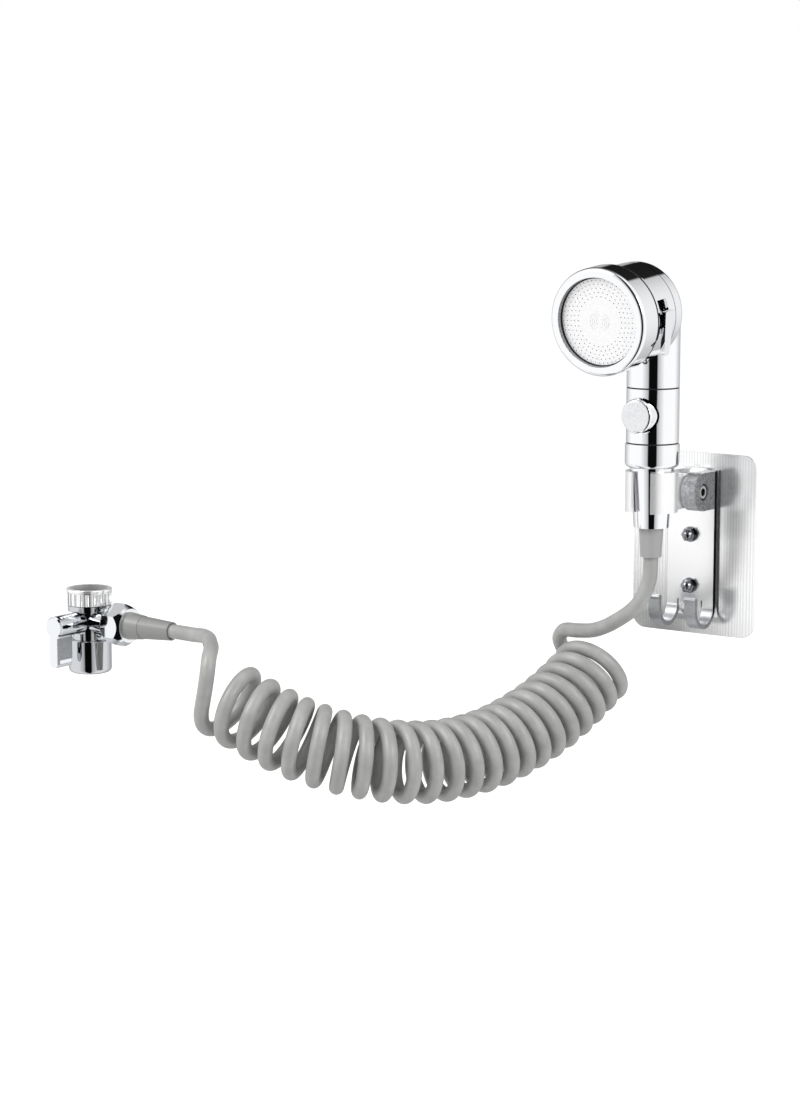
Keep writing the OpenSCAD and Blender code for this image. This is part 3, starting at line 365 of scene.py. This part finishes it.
def turned_stainless():
    """Turned stainless steel of the pivot screw and nut: a bright ring, with painted shade in the socket and
    in the gap round the edge.
    """
    material, tree, shader, place = new_finish("turned_stainless", Metallic=0.5, Roughness=0.25)
    low, high = (Vector(corner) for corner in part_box("pivot_screw"))
    middle, head_r = (low + high) / 2, (high - low).z / 2
    out = add_node(tree, "ShaderNodeVectorMath", {"operation": "SUBTRACT", 1: tuple(middle)}, {0: place})
    flat = add_node(tree, "ShaderNodeVectorMath", {"operation": "MULTIPLY", 1: (0.0, 1.0, 1.0)},
                    {0: out.outputs["Vector"]})
    off_axis = add_node(tree, "ShaderNodeVectorMath", {"operation": "LENGTH"}, {0: flat.outputs["Vector"]})
    share = add_node(tree, "ShaderNodeMath", {"operation": "DIVIDE", 1: head_r},
                     {0: off_axis.outputs["Value"]})
    rings = add_node(tree, "ShaderNodeValToRGB", links={"Fac": share.outputs["Value"]})
    # painted shade: dark in the socket and in the gap round the head, about a bright ring
    set_stops(rings, [(0.0, "#66686b"), (0.46, "#2b2c2f"), (0.54, "#f1f1f2"), (0.78, "#dcdde0"),
                      (0.86, "#232427")])
    tree.links.new(rings.outputs["Color"], shader.inputs["Base Color"])
    return material


def lever_chrome():
    """Chrome of the diverter's lever: bright in front, painted darker round the hub as shade, and painted a
    grey with a satin roughness on the blade's +X side as shade.
    """
    finish = bpy.context.scene.sprayer_finish
    material, tree, shader, place = new_finish("lever_chrome", Metallic=1.0)
    low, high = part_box("diverter_lever")
    axis_x = (low[0] + high[0]) / 2
    blade_top = high[2] - (high[0] - low[0]) + BLADE_TOP
    part = add_node(tree, "ShaderNodeSeparateXYZ", links={"Vector": place})
    hub = region(tree, (part.outputs["Z"], "GREATER_THAN", blade_top),
                 (part.outputs["Y"], "GREATER_THAN", low[1] + LEVER_FRONT))
    side = region(tree, (part.outputs["Z"], "LESS_THAN", blade_top),
                  (part.outputs["X"], "GREATER_THAN", axis_x + BLADE_SIDE))
    # painted shade: the blade's +X side is a darker grey, and the hub takes the chrome that is painted darker
    cast = mottled(tree, place, cell=0.9, detail=3.0, stops=[(0.4, "#909296"), (0.65, "#a8aaad")])
    paint(tree, shader, finish.deep_chrome, (hub, finish.shaded_chrome), (side, cast))
    sheen = add_node(tree, "ShaderNodeMapRange", {"To Min": 0.05, "To Max": 0.42}, {"Value": side})
    tree.links.new(sheen.outputs["Result"], shader.inputs["Roughness"])
    return material


def spring_steel():
    """Bright drawn steel of the valve's spool, spring and strainer, with a fine drawn grain."""
    material, tree, shader, place = new_finish("spring_steel", "#c8c9cc", Metallic=1.0, Roughness=0.2)
    grained(tree, shader, place, cell=0.4, detail=2.0, strength=0.15, depth=0.02)
    return material


def turned_brass():
    """Bare turned brass of the hose tails, with dulled patches."""
    material, tree, shader, place = new_finish("turned_brass", Metallic=1.0, Roughness=0.28)
    patches = mottled(tree, place, cell=2.5, detail=4.0, stops=[(0.4, "#c9a45c"), (0.7, "#a88645")])
    paint(tree, shader, patches)
    return material


def black_rubber():
    """Moulded EPDM of the seals and washers: matt black with a dusty bloom."""
    material, tree, shader, place = new_finish(
        "epdm_rubber", Roughness=0.6, **{"Specular IOR Level": 0.35})
    patches = mottled(tree, place, cell=2.0, detail=4.0, stops=[(0.4, "#131316"), (0.75, "#26262a")])
    paint(tree, shader, patches)
    return material


def plate_gasket_rubber():
    """Silicone gasket round the spray plate: a grey outer lip, and painted black deeper in, against the
    plate, as the shade in the recess.
    """
    material, tree, shader, place = new_finish("silicone_gasket", Roughness=0.5)
    front = max(head_depths_of("plate_gasket"))
    lip = region(tree, (head_depth(tree, place), "GREATER_THAN", front - GASKET_LIP))
    # painted shade: black deeper in the recess, grey at the lip
    paint(tree, shader, "#1a1a1d", (lip, "#9a9b9e"))
    return material


def white_acetal():
    """White acetal and PTFE of the washers, seats and discs: waxy and slightly see-through."""
    material, tree, shader, place = new_finish(
        "white_acetal", "#ecebe6", Roughness=0.38,
        **{"Subsurface Weight": 0.2, "Subsurface Radius": (0.002, 0.002, 0.0018)})
    grained(tree, shader, place, cell=0.7, detail=2.0, strength=0.1, depth=0.03)
    return material


def pierced_stainless():
    """Thin pierced stainless sheet of the spray plate, blasted to a silky finish that is almost white."""
    material, tree, shader, place = new_finish("pierced_stainless", "#f9f9fa", Metallic=0.6, Roughness=0.5)
    grained(tree, shader, place, cell=0.8, detail=3.0, strength=0.1, depth=0.02)
    return material


def pearl_nickel():
    """Pearl nickel on the fluted nut: almost white, so that only the sides of the flutes turn dark."""
    material, tree, shader, place = new_finish("pearl_nickel", "#f7f7f8", Metallic=0.7, Roughness=0.14)
    grained(tree, shader, place, cell=0.6, detail=2.0, strength=0.1, depth=0.02)
    return material


def hose_grey():
    """Extruded grey polyurethane hose: satin, faintly cloudy inside, with soft handling marks."""
    finish = bpy.context.scene.sprayer_finish
    material, tree, shader, place = new_finish(
        "polyurethane_hose",
        **{"Specular IOR Level": 0.5, "Subsurface Weight": 0.08,
           "Subsurface Radius": (0.002, 0.002, 0.002)})
    patches = mottled(tree, place, cell=9, detail=4.0, stops=[(0.35, finish.hose), (0.7, "#b2b3b0")])
    paint(tree, shader, patches)
    worn_gloss(tree, shader, place, cell=2, detail=5.0, low=0.28, high=0.44)
    return material


def sleeve_grey(name, colour):
    """Moulded grey PVC of a hose sleeve, with a soft gloss."""
    material, tree, shader, place = new_finish(name, colour, Roughness=0.3)
    grained(tree, shader, place, cell=0.8, detail=3.0, strength=0.15, depth=0.04)
    return material


def moulded_white():
    """White ABS of the aerator insert."""
    material, tree, shader, place = new_finish("white_abs", "#dfe0de", Roughness=0.45)
    grained(tree, shader, place, cell=0.8, detail=3.0, strength=0.1, depth=0.03)
    return material


def dress(material, *names):
    """Gives CAD nodes their finish. Their shapes stay as packed."""
    for name in names:
        NODES[name].data.materials.clear()
        NODES[name].data.materials.append(material)


def valve_spring(material):
    """The stop valve's spring as a piece of its own."""
    mesh = NODES["button_spring"].data.copy()
    shape = bmesh.new()
    shape.from_mesh(mesh)
    bmesh.ops.remove_doubles(shape, verts=shape.verts, dist=MERGE_REACH)
    shape.to_mesh(mesh)
    shape.free()
    mesh.materials.clear()
    mesh.materials.append(material)
    spring = bpy.data.objects.new("valve_spring", mesh)
    bpy.context.scene.collection.objects.link(spring)
    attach(spring, "handset")
    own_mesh(spring)
    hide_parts("button_spring")


# ---- Hose route -------------------------------------------------------------------------------
# The routes are the model's own, in millimetres: the bare stretches and the coil's middle line.

COIL_AXIS = [
    (-170, -214, -73), (-145, -210, -84), (-124, -203, -93), (-105, -191, -100), (-89, -175, -105),
    (-77, -155, -108), (-68, -133, -108), (-61, -111, -105), (-55, -90, -99), (-50, -70, -91),
    (-46, -51, -81), (-43, -33, -70),
]
TAP_ROUTE = [
    (-240, -175, -50), (-232, -175, -50), (-221, -176, -50), (-210, -180, -49), (-199, -189, -48),
    (-189, -200, -47), (-179, -212, -45), (-170, -222, -45), (-165, -230, -49), (-163, -234, -56),
]
HANDSET_ROUTE = [
    (-67, -32, -62), (-67, -35, -57), (-64, -38, -53), (-59, -41, -50), (-49, -44, -49),
    (-37, -48, -47), (-26, -52, -43), (-17, -53, -38), (-9, -52, -32), (-4, -50, -25), (-1, -48, -16),
    (0, -48, -7), (0, -48, 1),
]
STRAIGHT_RUN = 4                  # millimetres that a bare stretch runs straight where it meets the coil
ROUTE_STEPS = 6                   # rings of the hose between two points of a route
RISING_SPANS = 2                  # last spans of the route, which rise into the handset's sleeve
AXIS_STEP = 0.01                  # part of a span over which the direction of the coil's line is taken
END_STEP = 0.0002                 # share of the coil over which the hose's direction at its end is taken


def curve_at(points, u):
    """Point of the smooth curve through the points, where u counts them."""
    last = len(points) - 1
    i = min(int(u), last - 1)
    t = u - i
    b, c = points[i], points[i + 1]
    a = points[i - 1] if i > 0 else 2 * b - c
    d = points[i + 2] if i + 2 <= last else 2 * c - b
    return 0.5 * (2 * b + (c - a) * t + (2 * a - 5 * b + 4 * c - d) * t ** 2
                  + (3 * b - a - 3 * c + d) * t ** 3)


def smooth_route(points, steps):
    """The smooth curve through the points, with that many steps between each two."""
    spans = len(points) - 1
    return [curve_at(points, i / steps) for i in range(spans * steps + 1)]


def curl_point(share, hose):
    """Point of the coil after that share of its turns."""
    axis = [Vector(p) for p in COIL_AXIS]
    last = len(axis) - 1
    u = share * last
    ahead, behind = curve_at(axis, min(u + AXIS_STEP, last)), curve_at(axis, max(u - AXIS_STEP, 0))
    along = (ahead - behind).normalized()
    side = along.cross(Vector((0, 0, 1))).normalized()
    up = side.cross(along)
    angle = math.radians(hose.first_curl_angle + 360 * hose.turns * share)
    outwards = math.cos(angle) * up + math.sin(angle) * side
    return curve_at(axis, u) + hose.curl_radius / MM * outwards


def tube_mesh(name, points, diameter, sides):
    """A round closed tube along points in metres, as a mesh."""
    curve = bpy.data.curves.new(name + "_line", "CURVE")
    curve.dimensions = "3D"
    curve.bevel_depth = diameter / 2
    curve.bevel_resolution = (sides - 4) // 2     # a bevel has four sides, and two more for each step
    curve.use_fill_caps = True
    spline = curve.splines.new("POLY")
    spline.points.add(len(points) - 1)
    for spot, p in zip(spline.points, points):
        spot.co = (*p, 1)
    draft = bpy.data.objects.new(name + "_draft", curve)
    bpy.context.scene.collection.objects.link(draft)
    bpy.context.view_layer.update()
    mesh = bpy.data.meshes.new_from_object(draft.evaluated_get(bpy.context.evaluated_depsgraph_get()))
    bpy.data.objects.remove(draft)
    for face in mesh.polygons:
        face.use_smooth = len(face.vertices) == 4
    piece = bpy.data.objects.new(name, mesh)
    bpy.context.scene.collection.objects.link(piece)
    return piece


def hose_tube(name, points, hose, node):
    """A stretch of hose along points in millimetres, in the place of a node."""
    piece = tube_mesh(name, [p * MM for p in points], hose.diameter, hose.sides)
    piece.data.materials.clear()
    piece.data.materials.append(bpy.data.materials["polyurethane_hose"])
    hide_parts(node)
    return piece


def free_hose(name, points, hose, node):
    """A stretch of hose that hangs free."""
    piece = hose_tube(name, points, hose, node)
    return piece


# ---- Sizes and colours ------------------------------------------------------------------------

def colour_property(label, description, code):
    """A colour that a user can change."""
    return bpy.props.FloatVectorProperty(
        name=label, description=description, subtype="COLOR", size=4, min=0, max=1, default=linear(code))


class SPRAYER_PG_finish(bpy.types.PropertyGroup):
    """Colours of the finishes"""
    bright_chrome: colour_property("Bright chrome", "Chrome on the moulded handset", "#f0f1f3")
    deep_chrome: colour_property("Deep chrome", "Chrome on the diverter's union nut and lever", "#e9ebee")
    # chrome painted darker as shade, for the dark reflections and contact shadows on the diverter's body, cup
    # and hub
    shaded_chrome: colour_property("Dark chrome", "Chrome on the diverter's body, cup and hub", "#c9cbce")
    satin_chrome: colour_property("Satin chrome", "Chrome on the wall clamp", "#f8f8f9")
    aluminium: colour_property("Aluminium", "Face of the bracket's strip", "#fdfdfe")
    film: colour_property("Adhesive film", "Brushed film on the wall", "#fbfbfb")
    # stainless steel's colour is painted dark as shade, for the dark surroundings that the studs, washers and
    # nuts mirror
    stainless: colour_property("Stainless steel", "Studs, washers and nuts on the wall", "#8e8f93")
    hose: colour_property("Hose", "Polyurethane hose", "#a3a4a2")
    sleeve: colour_property("Handset sleeve", "Moulded sleeve at the hose's upper end", "#a8a9a8")
    tap_sleeve: colour_property("Tap sleeve", "Moulded sleeve at the tap diverter", "#919290")


class SPRAYER_PG_hose(bpy.types.PropertyGroup):
    """Sizes of the curly hose"""
    diameter: bpy.props.FloatProperty(
        name="Diameter", description="Outer diameter of the hose", subtype="DISTANCE", default=8.2 * MM)
    curl_radius: bpy.props.FloatProperty(
        name="Curl radius", description="Mean radius of the curls", subtype="DISTANCE", default=18.6 * MM)
    turns: bpy.props.FloatProperty(name="Turns", description="Number of curls", default=22.4)
    first_curl_angle: bpy.props.FloatProperty(
        name="First curl", description="Degrees of the first curl from its top", default=100)
    steps_per_turn: bpy.props.IntProperty(name="Steps", description="Rings of faces in each curl", default=48)
    sides: bpy.props.IntProperty(name="Sides", description="Faces round the hose", default=24)


class SPRAYER_PG_studio(bpy.types.PropertyGroup):
    """Camera and light"""
    azimuth: bpy.props.FloatProperty(
        name="Azimuth", description="Camera's turn from straight on", subtype="ANGLE",
        default=math.radians(35.5))
    elevation: bpy.props.FloatProperty(
        name="Elevation", description="Camera's angle above the horizon", subtype="ANGLE",
        default=math.radians(8.5))
    eye: bpy.props.FloatVectorProperty(
        name="Camera", description="Where the camera stands", subtype="XYZ",
        default=(0.7719, -1.3678, 0.2303))
    lens: bpy.props.FloatProperty(
        name="Lens", description="Focal length on a 36 mm frame's long side", default=91.97)
    floor_z: bpy.props.FloatProperty(
        name="Floor", description="Height of the floor", subtype="DISTANCE", default=-0.25)


# ---- Operators --------------------------------------------------------------------------------

class SPRAYER_OT_adhesive_sheet(bpy.types.Operator):
    """Finishes the brushed adhesive sheet"""
    bl_idname = "sprayer.adhesive_sheet"
    bl_label = "Adhesive Sheet"

    def execute(self, context):
        dress(brushed_film(), "adhesive_sheet")
        return {"FINISHED"}


class SPRAYER_OT_bracket(bpy.types.Operator):
    """Finishes the bracket with its lugs and hooks"""
    bl_idname = "sprayer.bracket"
    bl_label = "Bracket"

    def execute(self, context):
        dress(bracket_aluminium(), "holder_bracket")
        return {"FINISHED"}


class SPRAYER_OT_clamp(bpy.types.Operator):
    """Finishes the tilting clamp"""
    bl_idname = "sprayer.clamp"
    bl_label = "Clamp"

    def execute(self, context):
        dress(satin_chrome(), "holder_clamp")
        return {"FINISHED"}


class SPRAYER_OT_fasteners(bpy.types.Operator):
    """Finishes the studs, nuts and washers and the pivot screw"""
    bl_idname = "sprayer.fasteners"
    bl_label = "Fasteners"

    def execute(self, context):
        dress(polished_stainless(), "wall_studs", "stud_washers", "acorn_nuts")
        dress(turned_stainless(), "pivot_screw", "pivot_nut")
        return {"FINISHED"}


class SPRAYER_OT_handset_shells(bpy.types.Operator):
    """Plates the cone nut, the collar, the button and its section, and the head with bright chrome"""
    bl_idname = "sprayer.handset_shells"
    bl_label = "Handset Shells"

    def execute(self, context):
        dress(chrome_on_abs(), "cone_nut", "handle_collar", "button_body", "head_body", "mode_lever",
              "lever_ring", "face_bezel")
        dress(chrome_on_abs("drum_chrome", seam_behind="mode_housing"), "mode_housing")
        dress(button_chrome(), "stop_button")
        return {"FINISHED"}


class SPRAYER_OT_spray_plate(bpy.types.Operator):
    """Finishes the pierced spray plate"""
    bl_idname = "sprayer.spray_plate"
    bl_label = "Spray Plate"

    def execute(self, context):
        dress(pierced_stainless(), "spray_plate")
        return {"FINISHED"}


class SPRAYER_OT_seals(bpy.types.Operator):
    """Finishes the rubber seals, washers and gaskets"""
    bl_idname = "sprayer.seals"
    bl_label = "Seals"

    def execute(self, context):
        dress(black_rubber(), "hose_washer", "seam_gaskets", "spool_seals", "bezel_seal", "tap_washer",
              "union_washer", "stem_seals")
        dress(plate_gasket_rubber(), "plate_gasket")
        return {"FINISHED"}


class SPRAYER_OT_low_friction_parts(bpy.types.Operator):
    """Finishes the white washers, seats and discs"""
    bl_idname = "sprayer.low_friction_parts"
    bl_label = "Washers and Discs"

    def execute(self, context):
        dress(white_acetal(), "friction_washers", "flow_disc", "mode_disc", "ball_seats")
        return {"FINISHED"}


class SPRAYER_OT_valve_parts(bpy.types.Operator):
    """Finishes the stop valve's spool and spring and the strainer"""
    bl_idname = "sprayer.valve_parts"
    bl_label = "Valve Parts"

    def execute(self, context):
        steel = spring_steel()
        dress(steel, "button_spool", "inlet_screen")
        valve_spring(steel)
        return {"FINISHED"}


class SPRAYER_OT_diverter(bpy.types.Operator):
    """Plates the tap diverter's body, nuts, cup, lever, ball and stem, and finishes its aerator"""
    bl_idname = "sprayer.tap_diverter"
    bl_label = "Tap Diverter"

    def execute(self, context):
        finish = context.scene.sprayer_finish
        dress(chrome_on_brass("chrome_plated_brass", finish.deep_chrome),
              "union_nut", "diverter_ball", "lever_stem")
        # the body and cup get the chrome that is painted darker as shade
        dress(chrome_on_brass("shaded_chrome_plated_brass", finish.shaded_chrome),
              "diverter_body", "outlet_cup")
        dress(pearl_nickel(), "swivel_nut")
        dress(lever_chrome(), "diverter_lever")
        dress(moulded_white(), "aerator")
        return {"FINISHED"}


class SPRAYER_OT_hose_ends(bpy.types.Operator):
    """Finishes the hose's moulded sleeves and brass tails"""
    bl_idname = "sprayer.hose_ends"
    bl_label = "Hose Ends"

    def execute(self, context):
        finish = context.scene.sprayer_finish
        dress(sleeve_grey("moulded_pvc", finish.sleeve), "handset_sleeve")
        dress(sleeve_grey("dark_moulded_pvc", finish.tap_sleeve), "tap_sleeve")
        dress(turned_brass(), "handset_tail", "tap_tail")
        return {"FINISHED"}


class SPRAYER_OT_hose(bpy.types.Operator):
    """Makes the curly hose and its bare ends"""
    bl_idname = "sprayer.curly_hose"
    bl_label = "Curly Hose"

    def execute(self, context):
        hose = context.scene.sprayer_hose
        hose_grey()
        steps = round(hose.turns * hose.steps_per_turn)
        curls = [curl_point(i / steps, hose) for i in range(steps + 1)]
        width = hose.diameter / MM
        into_coil = (curl_point(END_STEP, hose) - curls[0]).normalized()
        out_of_coil = (curls[-1] - curl_point(1 - END_STEP, hose)).normalized()
        coil_start = curls[0] - width * into_coil
        coil_end = curls[-1] + width * out_of_coil

        lead = smooth_route(
            [*map(Vector, TAP_ROUTE), coil_start - STRAIGHT_RUN * into_coil, coil_start], ROUTE_STEPS)
        main = free_hose("hose_from_tap", [*lead, *curls, coil_end], hose, "hose_coil")
        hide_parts("hose_lead_tap")
        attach(main, "wall_and_hose")

        handset = smooth_route(
            [coil_end, coil_end + STRAIGHT_RUN * out_of_coil, *map(Vector, HANDSET_ROUTE)], ROUTE_STEPS)
        split = len(handset) - 1 - RISING_SPANS * ROUTE_STEPS
        held_end = hose_tube("hose_end_in_sleeve", handset[split:], hose, "hose_lead_handset")
        rising = free_hose("hose_to_handset", handset[:split + 1], hose, "hose_lead_handset")
        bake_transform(rising)
        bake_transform(held_end)
        return {"FINISHED"}


class SPRAYER_OT_stage(bpy.types.Operator):
    """Makes the floor, the lamps, the studio's surroundings and the camera"""
    bl_idname = "sprayer.studio"
    bl_label = "Studio"

    def execute(self, context):
        studio = context.scene.sprayer_studio
        make_floor(studio)
        make_surroundings(studio)
        for lamp in LAMPS:
            make_lamp(*lamp)
        make_camera(studio)
        return {"FINISHED"}


# ---- Studio -----------------------------------------------------------------------------------

LAMPS = [
    # name, place, aim, size in metres, power in watts
    ("key_softbox", (-0.9, -1.5, 1.5), (-0.1, -0.1, 0.0), 1.2, 26),
    ("side_softbox", (1.4, -0.3, 0.7), (-0.05, -0.1, 0.0), 0.8, 9),
]
FLOOR_SIZE = 60                   # metres, so that its edge is far away
FLOOR_GLOW = 0.58                 # lifts the floor to white for the camera alone
FLOOR_COLOUR = "#e4e4e4"
EVEN_LIGHT = 0.55                 # brightness of the surroundings for soft light
SHOWN_LIGHT = 1.0                 # their brightness to the camera, which is white
MIRROR_SCALE = 1.2                # the ramp holds the levels below divided by this, as it ends at 1
# Brightness of the surroundings that metal mirrors, by degrees away from the camera.
MIRRORED_LEVELS = [(0, 0.004), (17, 0.004), (21, 0.55), (30, 0.72), (50, 1.1), (105, 1.12), (120, 0.95),
                   (140, 0.66), (165, 0.5), (180, 0.45)]
GAP_TURN = -5                     # degrees by which the dark gap between the softboxes is off the camera
BAND_SIDE = (143, 148)            # degrees away from the camera where the dark band behind the object starts
BAND_FOOT = (14, 20)              # degrees above the horizon where it starts
BAND_TOP = (41, 47)               # degrees above the horizon where it grows paler
BAND_ABOVE = 0.6                  # share of its darkness above that
BAND_LIGHT = 0.03                 # brightness in it
SENSOR_WIDTH = 36                 # millimetres
NEAREST_SEEN = 0.05               # metres


def make_floor(studio):
    """A wide pale floor that shows white and keeps the object's shadow."""
    bpy.ops.mesh.primitive_plane_add(size=FLOOR_SIZE, location=(0, 0, studio.floor_z))
    floor = bpy.context.object
    floor.name = "floor"
    floor.visible_glossy = False
    material = bpy.data.materials.new("pale_floor")
    material.use_nodes = True
    tree = material.node_tree
    tree.nodes.clear()
    card = add_node(tree, "ShaderNodeBsdfDiffuse", {"Color": linear(FLOOR_COLOUR)})
    seen = add_node(tree, "ShaderNodeLightPath").outputs["Is Camera Ray"]
    glow = add_node(tree, "ShaderNodeMath", {"operation": "MULTIPLY", 1: FLOOR_GLOW}, {0: seen})
    lift = add_node(tree, "ShaderNodeEmission", links={"Strength": glow.outputs["Value"]})
    both = add_node(tree, "ShaderNodeAddShader",
                    links={0: card.outputs["BSDF"], 1: lift.outputs["Emission"]})
    add_node(tree, "ShaderNodeOutputMaterial", links={"Surface": both.outputs["Shader"]})
    floor.data.materials.append(material)


def make_surroundings(studio):
    """World: white to the camera, even for soft light, and softboxes with a dark gap for mirrors."""
    world = bpy.data.worlds.new("studio")
    bpy.context.scene.world = world
    world.use_nodes = True
    tree = world.node_tree
    tree.nodes.clear()
    way = add_node(tree, "ShaderNodeTexCoord").outputs["Generated"]
    to_gap = math.atan2(-math.cos(studio.azimuth), math.sin(studio.azimuth)) + math.radians(GAP_TURN)
    turned = add_node(tree, "ShaderNodeVectorRotate",
                      {"rotation_type": "Z_AXIS", "Angle": -to_gap}, {"Vector": way})
    part = add_node(tree, "ShaderNodeSeparateXYZ", links={"Vector": turned.outputs["Vector"]})
    across = add_node(tree, "ShaderNodeMath", {"operation": "ABSOLUTE"}, {0: part.outputs["Y"]})
    off_camera = add_node(tree, "ShaderNodeMath", {"operation": "ARCTAN2"},
                           {0: across.outputs["Value"], 1: part.outputs["X"]})
    share = add_node(tree, "ShaderNodeMath", {"operation": "DIVIDE", 1: math.pi},
                     {0: off_camera.outputs["Value"]})
    levels = add_node(tree, "ShaderNodeValToRGB", links={"Fac": share.outputs["Value"]})
    set_stops(levels, [(degrees / 180, level / MIRROR_SCALE) for degrees, level in MIRRORED_LEVELS])

    side, full_side = (degrees / 180 for degrees in BAND_SIDE)
    foot, full_foot, top, full_top = (math.sin(math.radians(d)) for d in (*BAND_FOOT, *BAND_TOP))
    behind = add_node(tree, "ShaderNodeMapRange",
                      {"interpolation_type": "SMOOTHSTEP", "From Min": side, "From Max": full_side},
                      {"Value": share.outputs["Value"]})
    high = add_node(tree, "ShaderNodeMapRange",
                    {"interpolation_type": "SMOOTHSTEP", "From Min": foot, "From Max": full_foot},
                    {"Value": part.outputs["Z"]})
    overhead = add_node(tree, "ShaderNodeMapRange",
                        {"interpolation_type": "SMOOTHSTEP", "From Min": top, "From Max": full_top,
                         "To Min": 1.0, "To Max": BAND_ABOVE},
                        {"Value": part.outputs["Z"]})
    band = add_node(tree, "ShaderNodeMath", {"operation": "MULTIPLY"},
                    {0: high.outputs["Result"], 1: overhead.outputs["Result"]})
    dark = add_node(tree, "ShaderNodeMath", {"operation": "MULTIPLY"},
                    {0: behind.outputs["Result"], 1: band.outputs["Value"]})
    kept = add_node(tree, "ShaderNodeMapRange", {"To Min": MIRROR_SCALE, "To Max": BAND_LIGHT},
                    {"Value": dark.outputs["Value"]})

    path = add_node(tree, "ShaderNodeLightPath")
    mirrored = add_node(tree, "ShaderNodeMath", {"operation": "MAXIMUM"},
                        {0: path.outputs["Is Glossy Ray"], 1: path.outputs["Is Transmission Ray"]})
    even = add_node(tree, "ShaderNodeBackground", {"Color": linear("#ffffff"), "Strength": EVEN_LIGHT})
    shown = add_node(tree, "ShaderNodeBackground", {"Color": linear("#ffffff"), "Strength": SHOWN_LIGHT})
    boxes = add_node(tree, "ShaderNodeBackground",
                     links={"Color": levels.outputs["Color"], "Strength": kept.outputs["Result"]})
    lit = add_node(tree, "ShaderNodeMixShader",
                   links={0: mirrored.outputs["Value"], 1: even.outputs["Background"],
                          2: boxes.outputs["Background"]})
    seen = add_node(tree, "ShaderNodeMixShader",
                    links={0: path.outputs["Is Camera Ray"], 1: lit.outputs["Shader"],
                           2: shown.outputs["Background"]})
    add_node(tree, "ShaderNodeOutputWorld", links={"Surface": seen.outputs["Shader"]})


def make_lamp(name, place, aim, size, power):
    """A square soft lamp."""
    light = bpy.data.lights.new(name, "AREA")
    light.size = size
    light.energy = power
    lamp = bpy.data.objects.new(name, light)
    lamp.location = place
    lamp.rotation_euler = (Vector(place) - Vector(aim)).to_track_quat("Z", "Y").to_euler()
    bpy.context.scene.collection.objects.link(lamp)


def make_camera(studio):
    """The camera, level and with no shift."""
    camera = bpy.data.objects.new("camera", bpy.data.cameras.new("camera"))
    camera.data.sensor_width = SENSOR_WIDTH
    camera.data.lens = studio.lens
    camera.data.clip_start = NEAREST_SEEN
    camera.location = studio.eye
    camera.rotation_euler = (math.pi / 2 - studio.elevation, 0, studio.azimuth)
    bpy.context.scene.collection.objects.link(camera)
    bpy.context.scene.camera = camera
    bpy.context.scene.view_settings.view_transform = "Standard"


# ---- Panel and run ----------------------------------------------------------------------------

OPERATORS = (
    SPRAYER_OT_stage, SPRAYER_OT_hose, SPRAYER_OT_hose_ends, SPRAYER_OT_adhesive_sheet, SPRAYER_OT_bracket,
    SPRAYER_OT_clamp, SPRAYER_OT_fasteners, SPRAYER_OT_handset_shells, SPRAYER_OT_spray_plate,
    SPRAYER_OT_seals, SPRAYER_OT_low_friction_parts, SPRAYER_OT_valve_parts, SPRAYER_OT_diverter,
)
SETTINGS = {"sprayer_finish": SPRAYER_PG_finish, "sprayer_hose": SPRAYER_PG_hose,
            "sprayer_studio": SPRAYER_PG_studio}


class SPRAYER_PT_panel(bpy.types.Panel):
    """Lists the sprayer's steps and settings"""
    bl_label = "Bath Sprayer"
    bl_idname = "SPRAYER_PT_panel"
    bl_space_type = "VIEW_3D"
    bl_region_type = "UI"
    bl_category = "Sprayer"

    def draw(self, context):
        for operator in OPERATORS:
            self.layout.operator(operator.bl_idname)
        for name in SETTINGS:
            box = self.layout.box()
            group = getattr(context.scene, name)
            for key in group.bl_rna.properties.keys():
                if key not in ("rna_type", "name"):
                    box.prop(group, key)


def register():
    """Adds the classes and their settings to Blender."""
    for cls in (*SETTINGS.values(), *OPERATORS, SPRAYER_PT_panel):
        bpy.utils.register_class(cls)
    for name, group in SETTINGS.items():
        setattr(bpy.types.Scene, name, bpy.props.PointerProperty(type=group))


def unregister():
    """Takes them out again."""
    for name in SETTINGS:
        delattr(bpy.types.Scene, name)
    for cls in reversed((*SETTINGS.values(), *OPERATORS, SPRAYER_PT_panel)):
        bpy.utils.unregister_class(cls)


def main():
    """Runs every step in order."""
    register()
    for operator in OPERATORS:
        category, name = operator.bl_idname.split(".")
        getattr(getattr(bpy.ops, category), name)()
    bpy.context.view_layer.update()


if __name__ == "__main__":
    main()
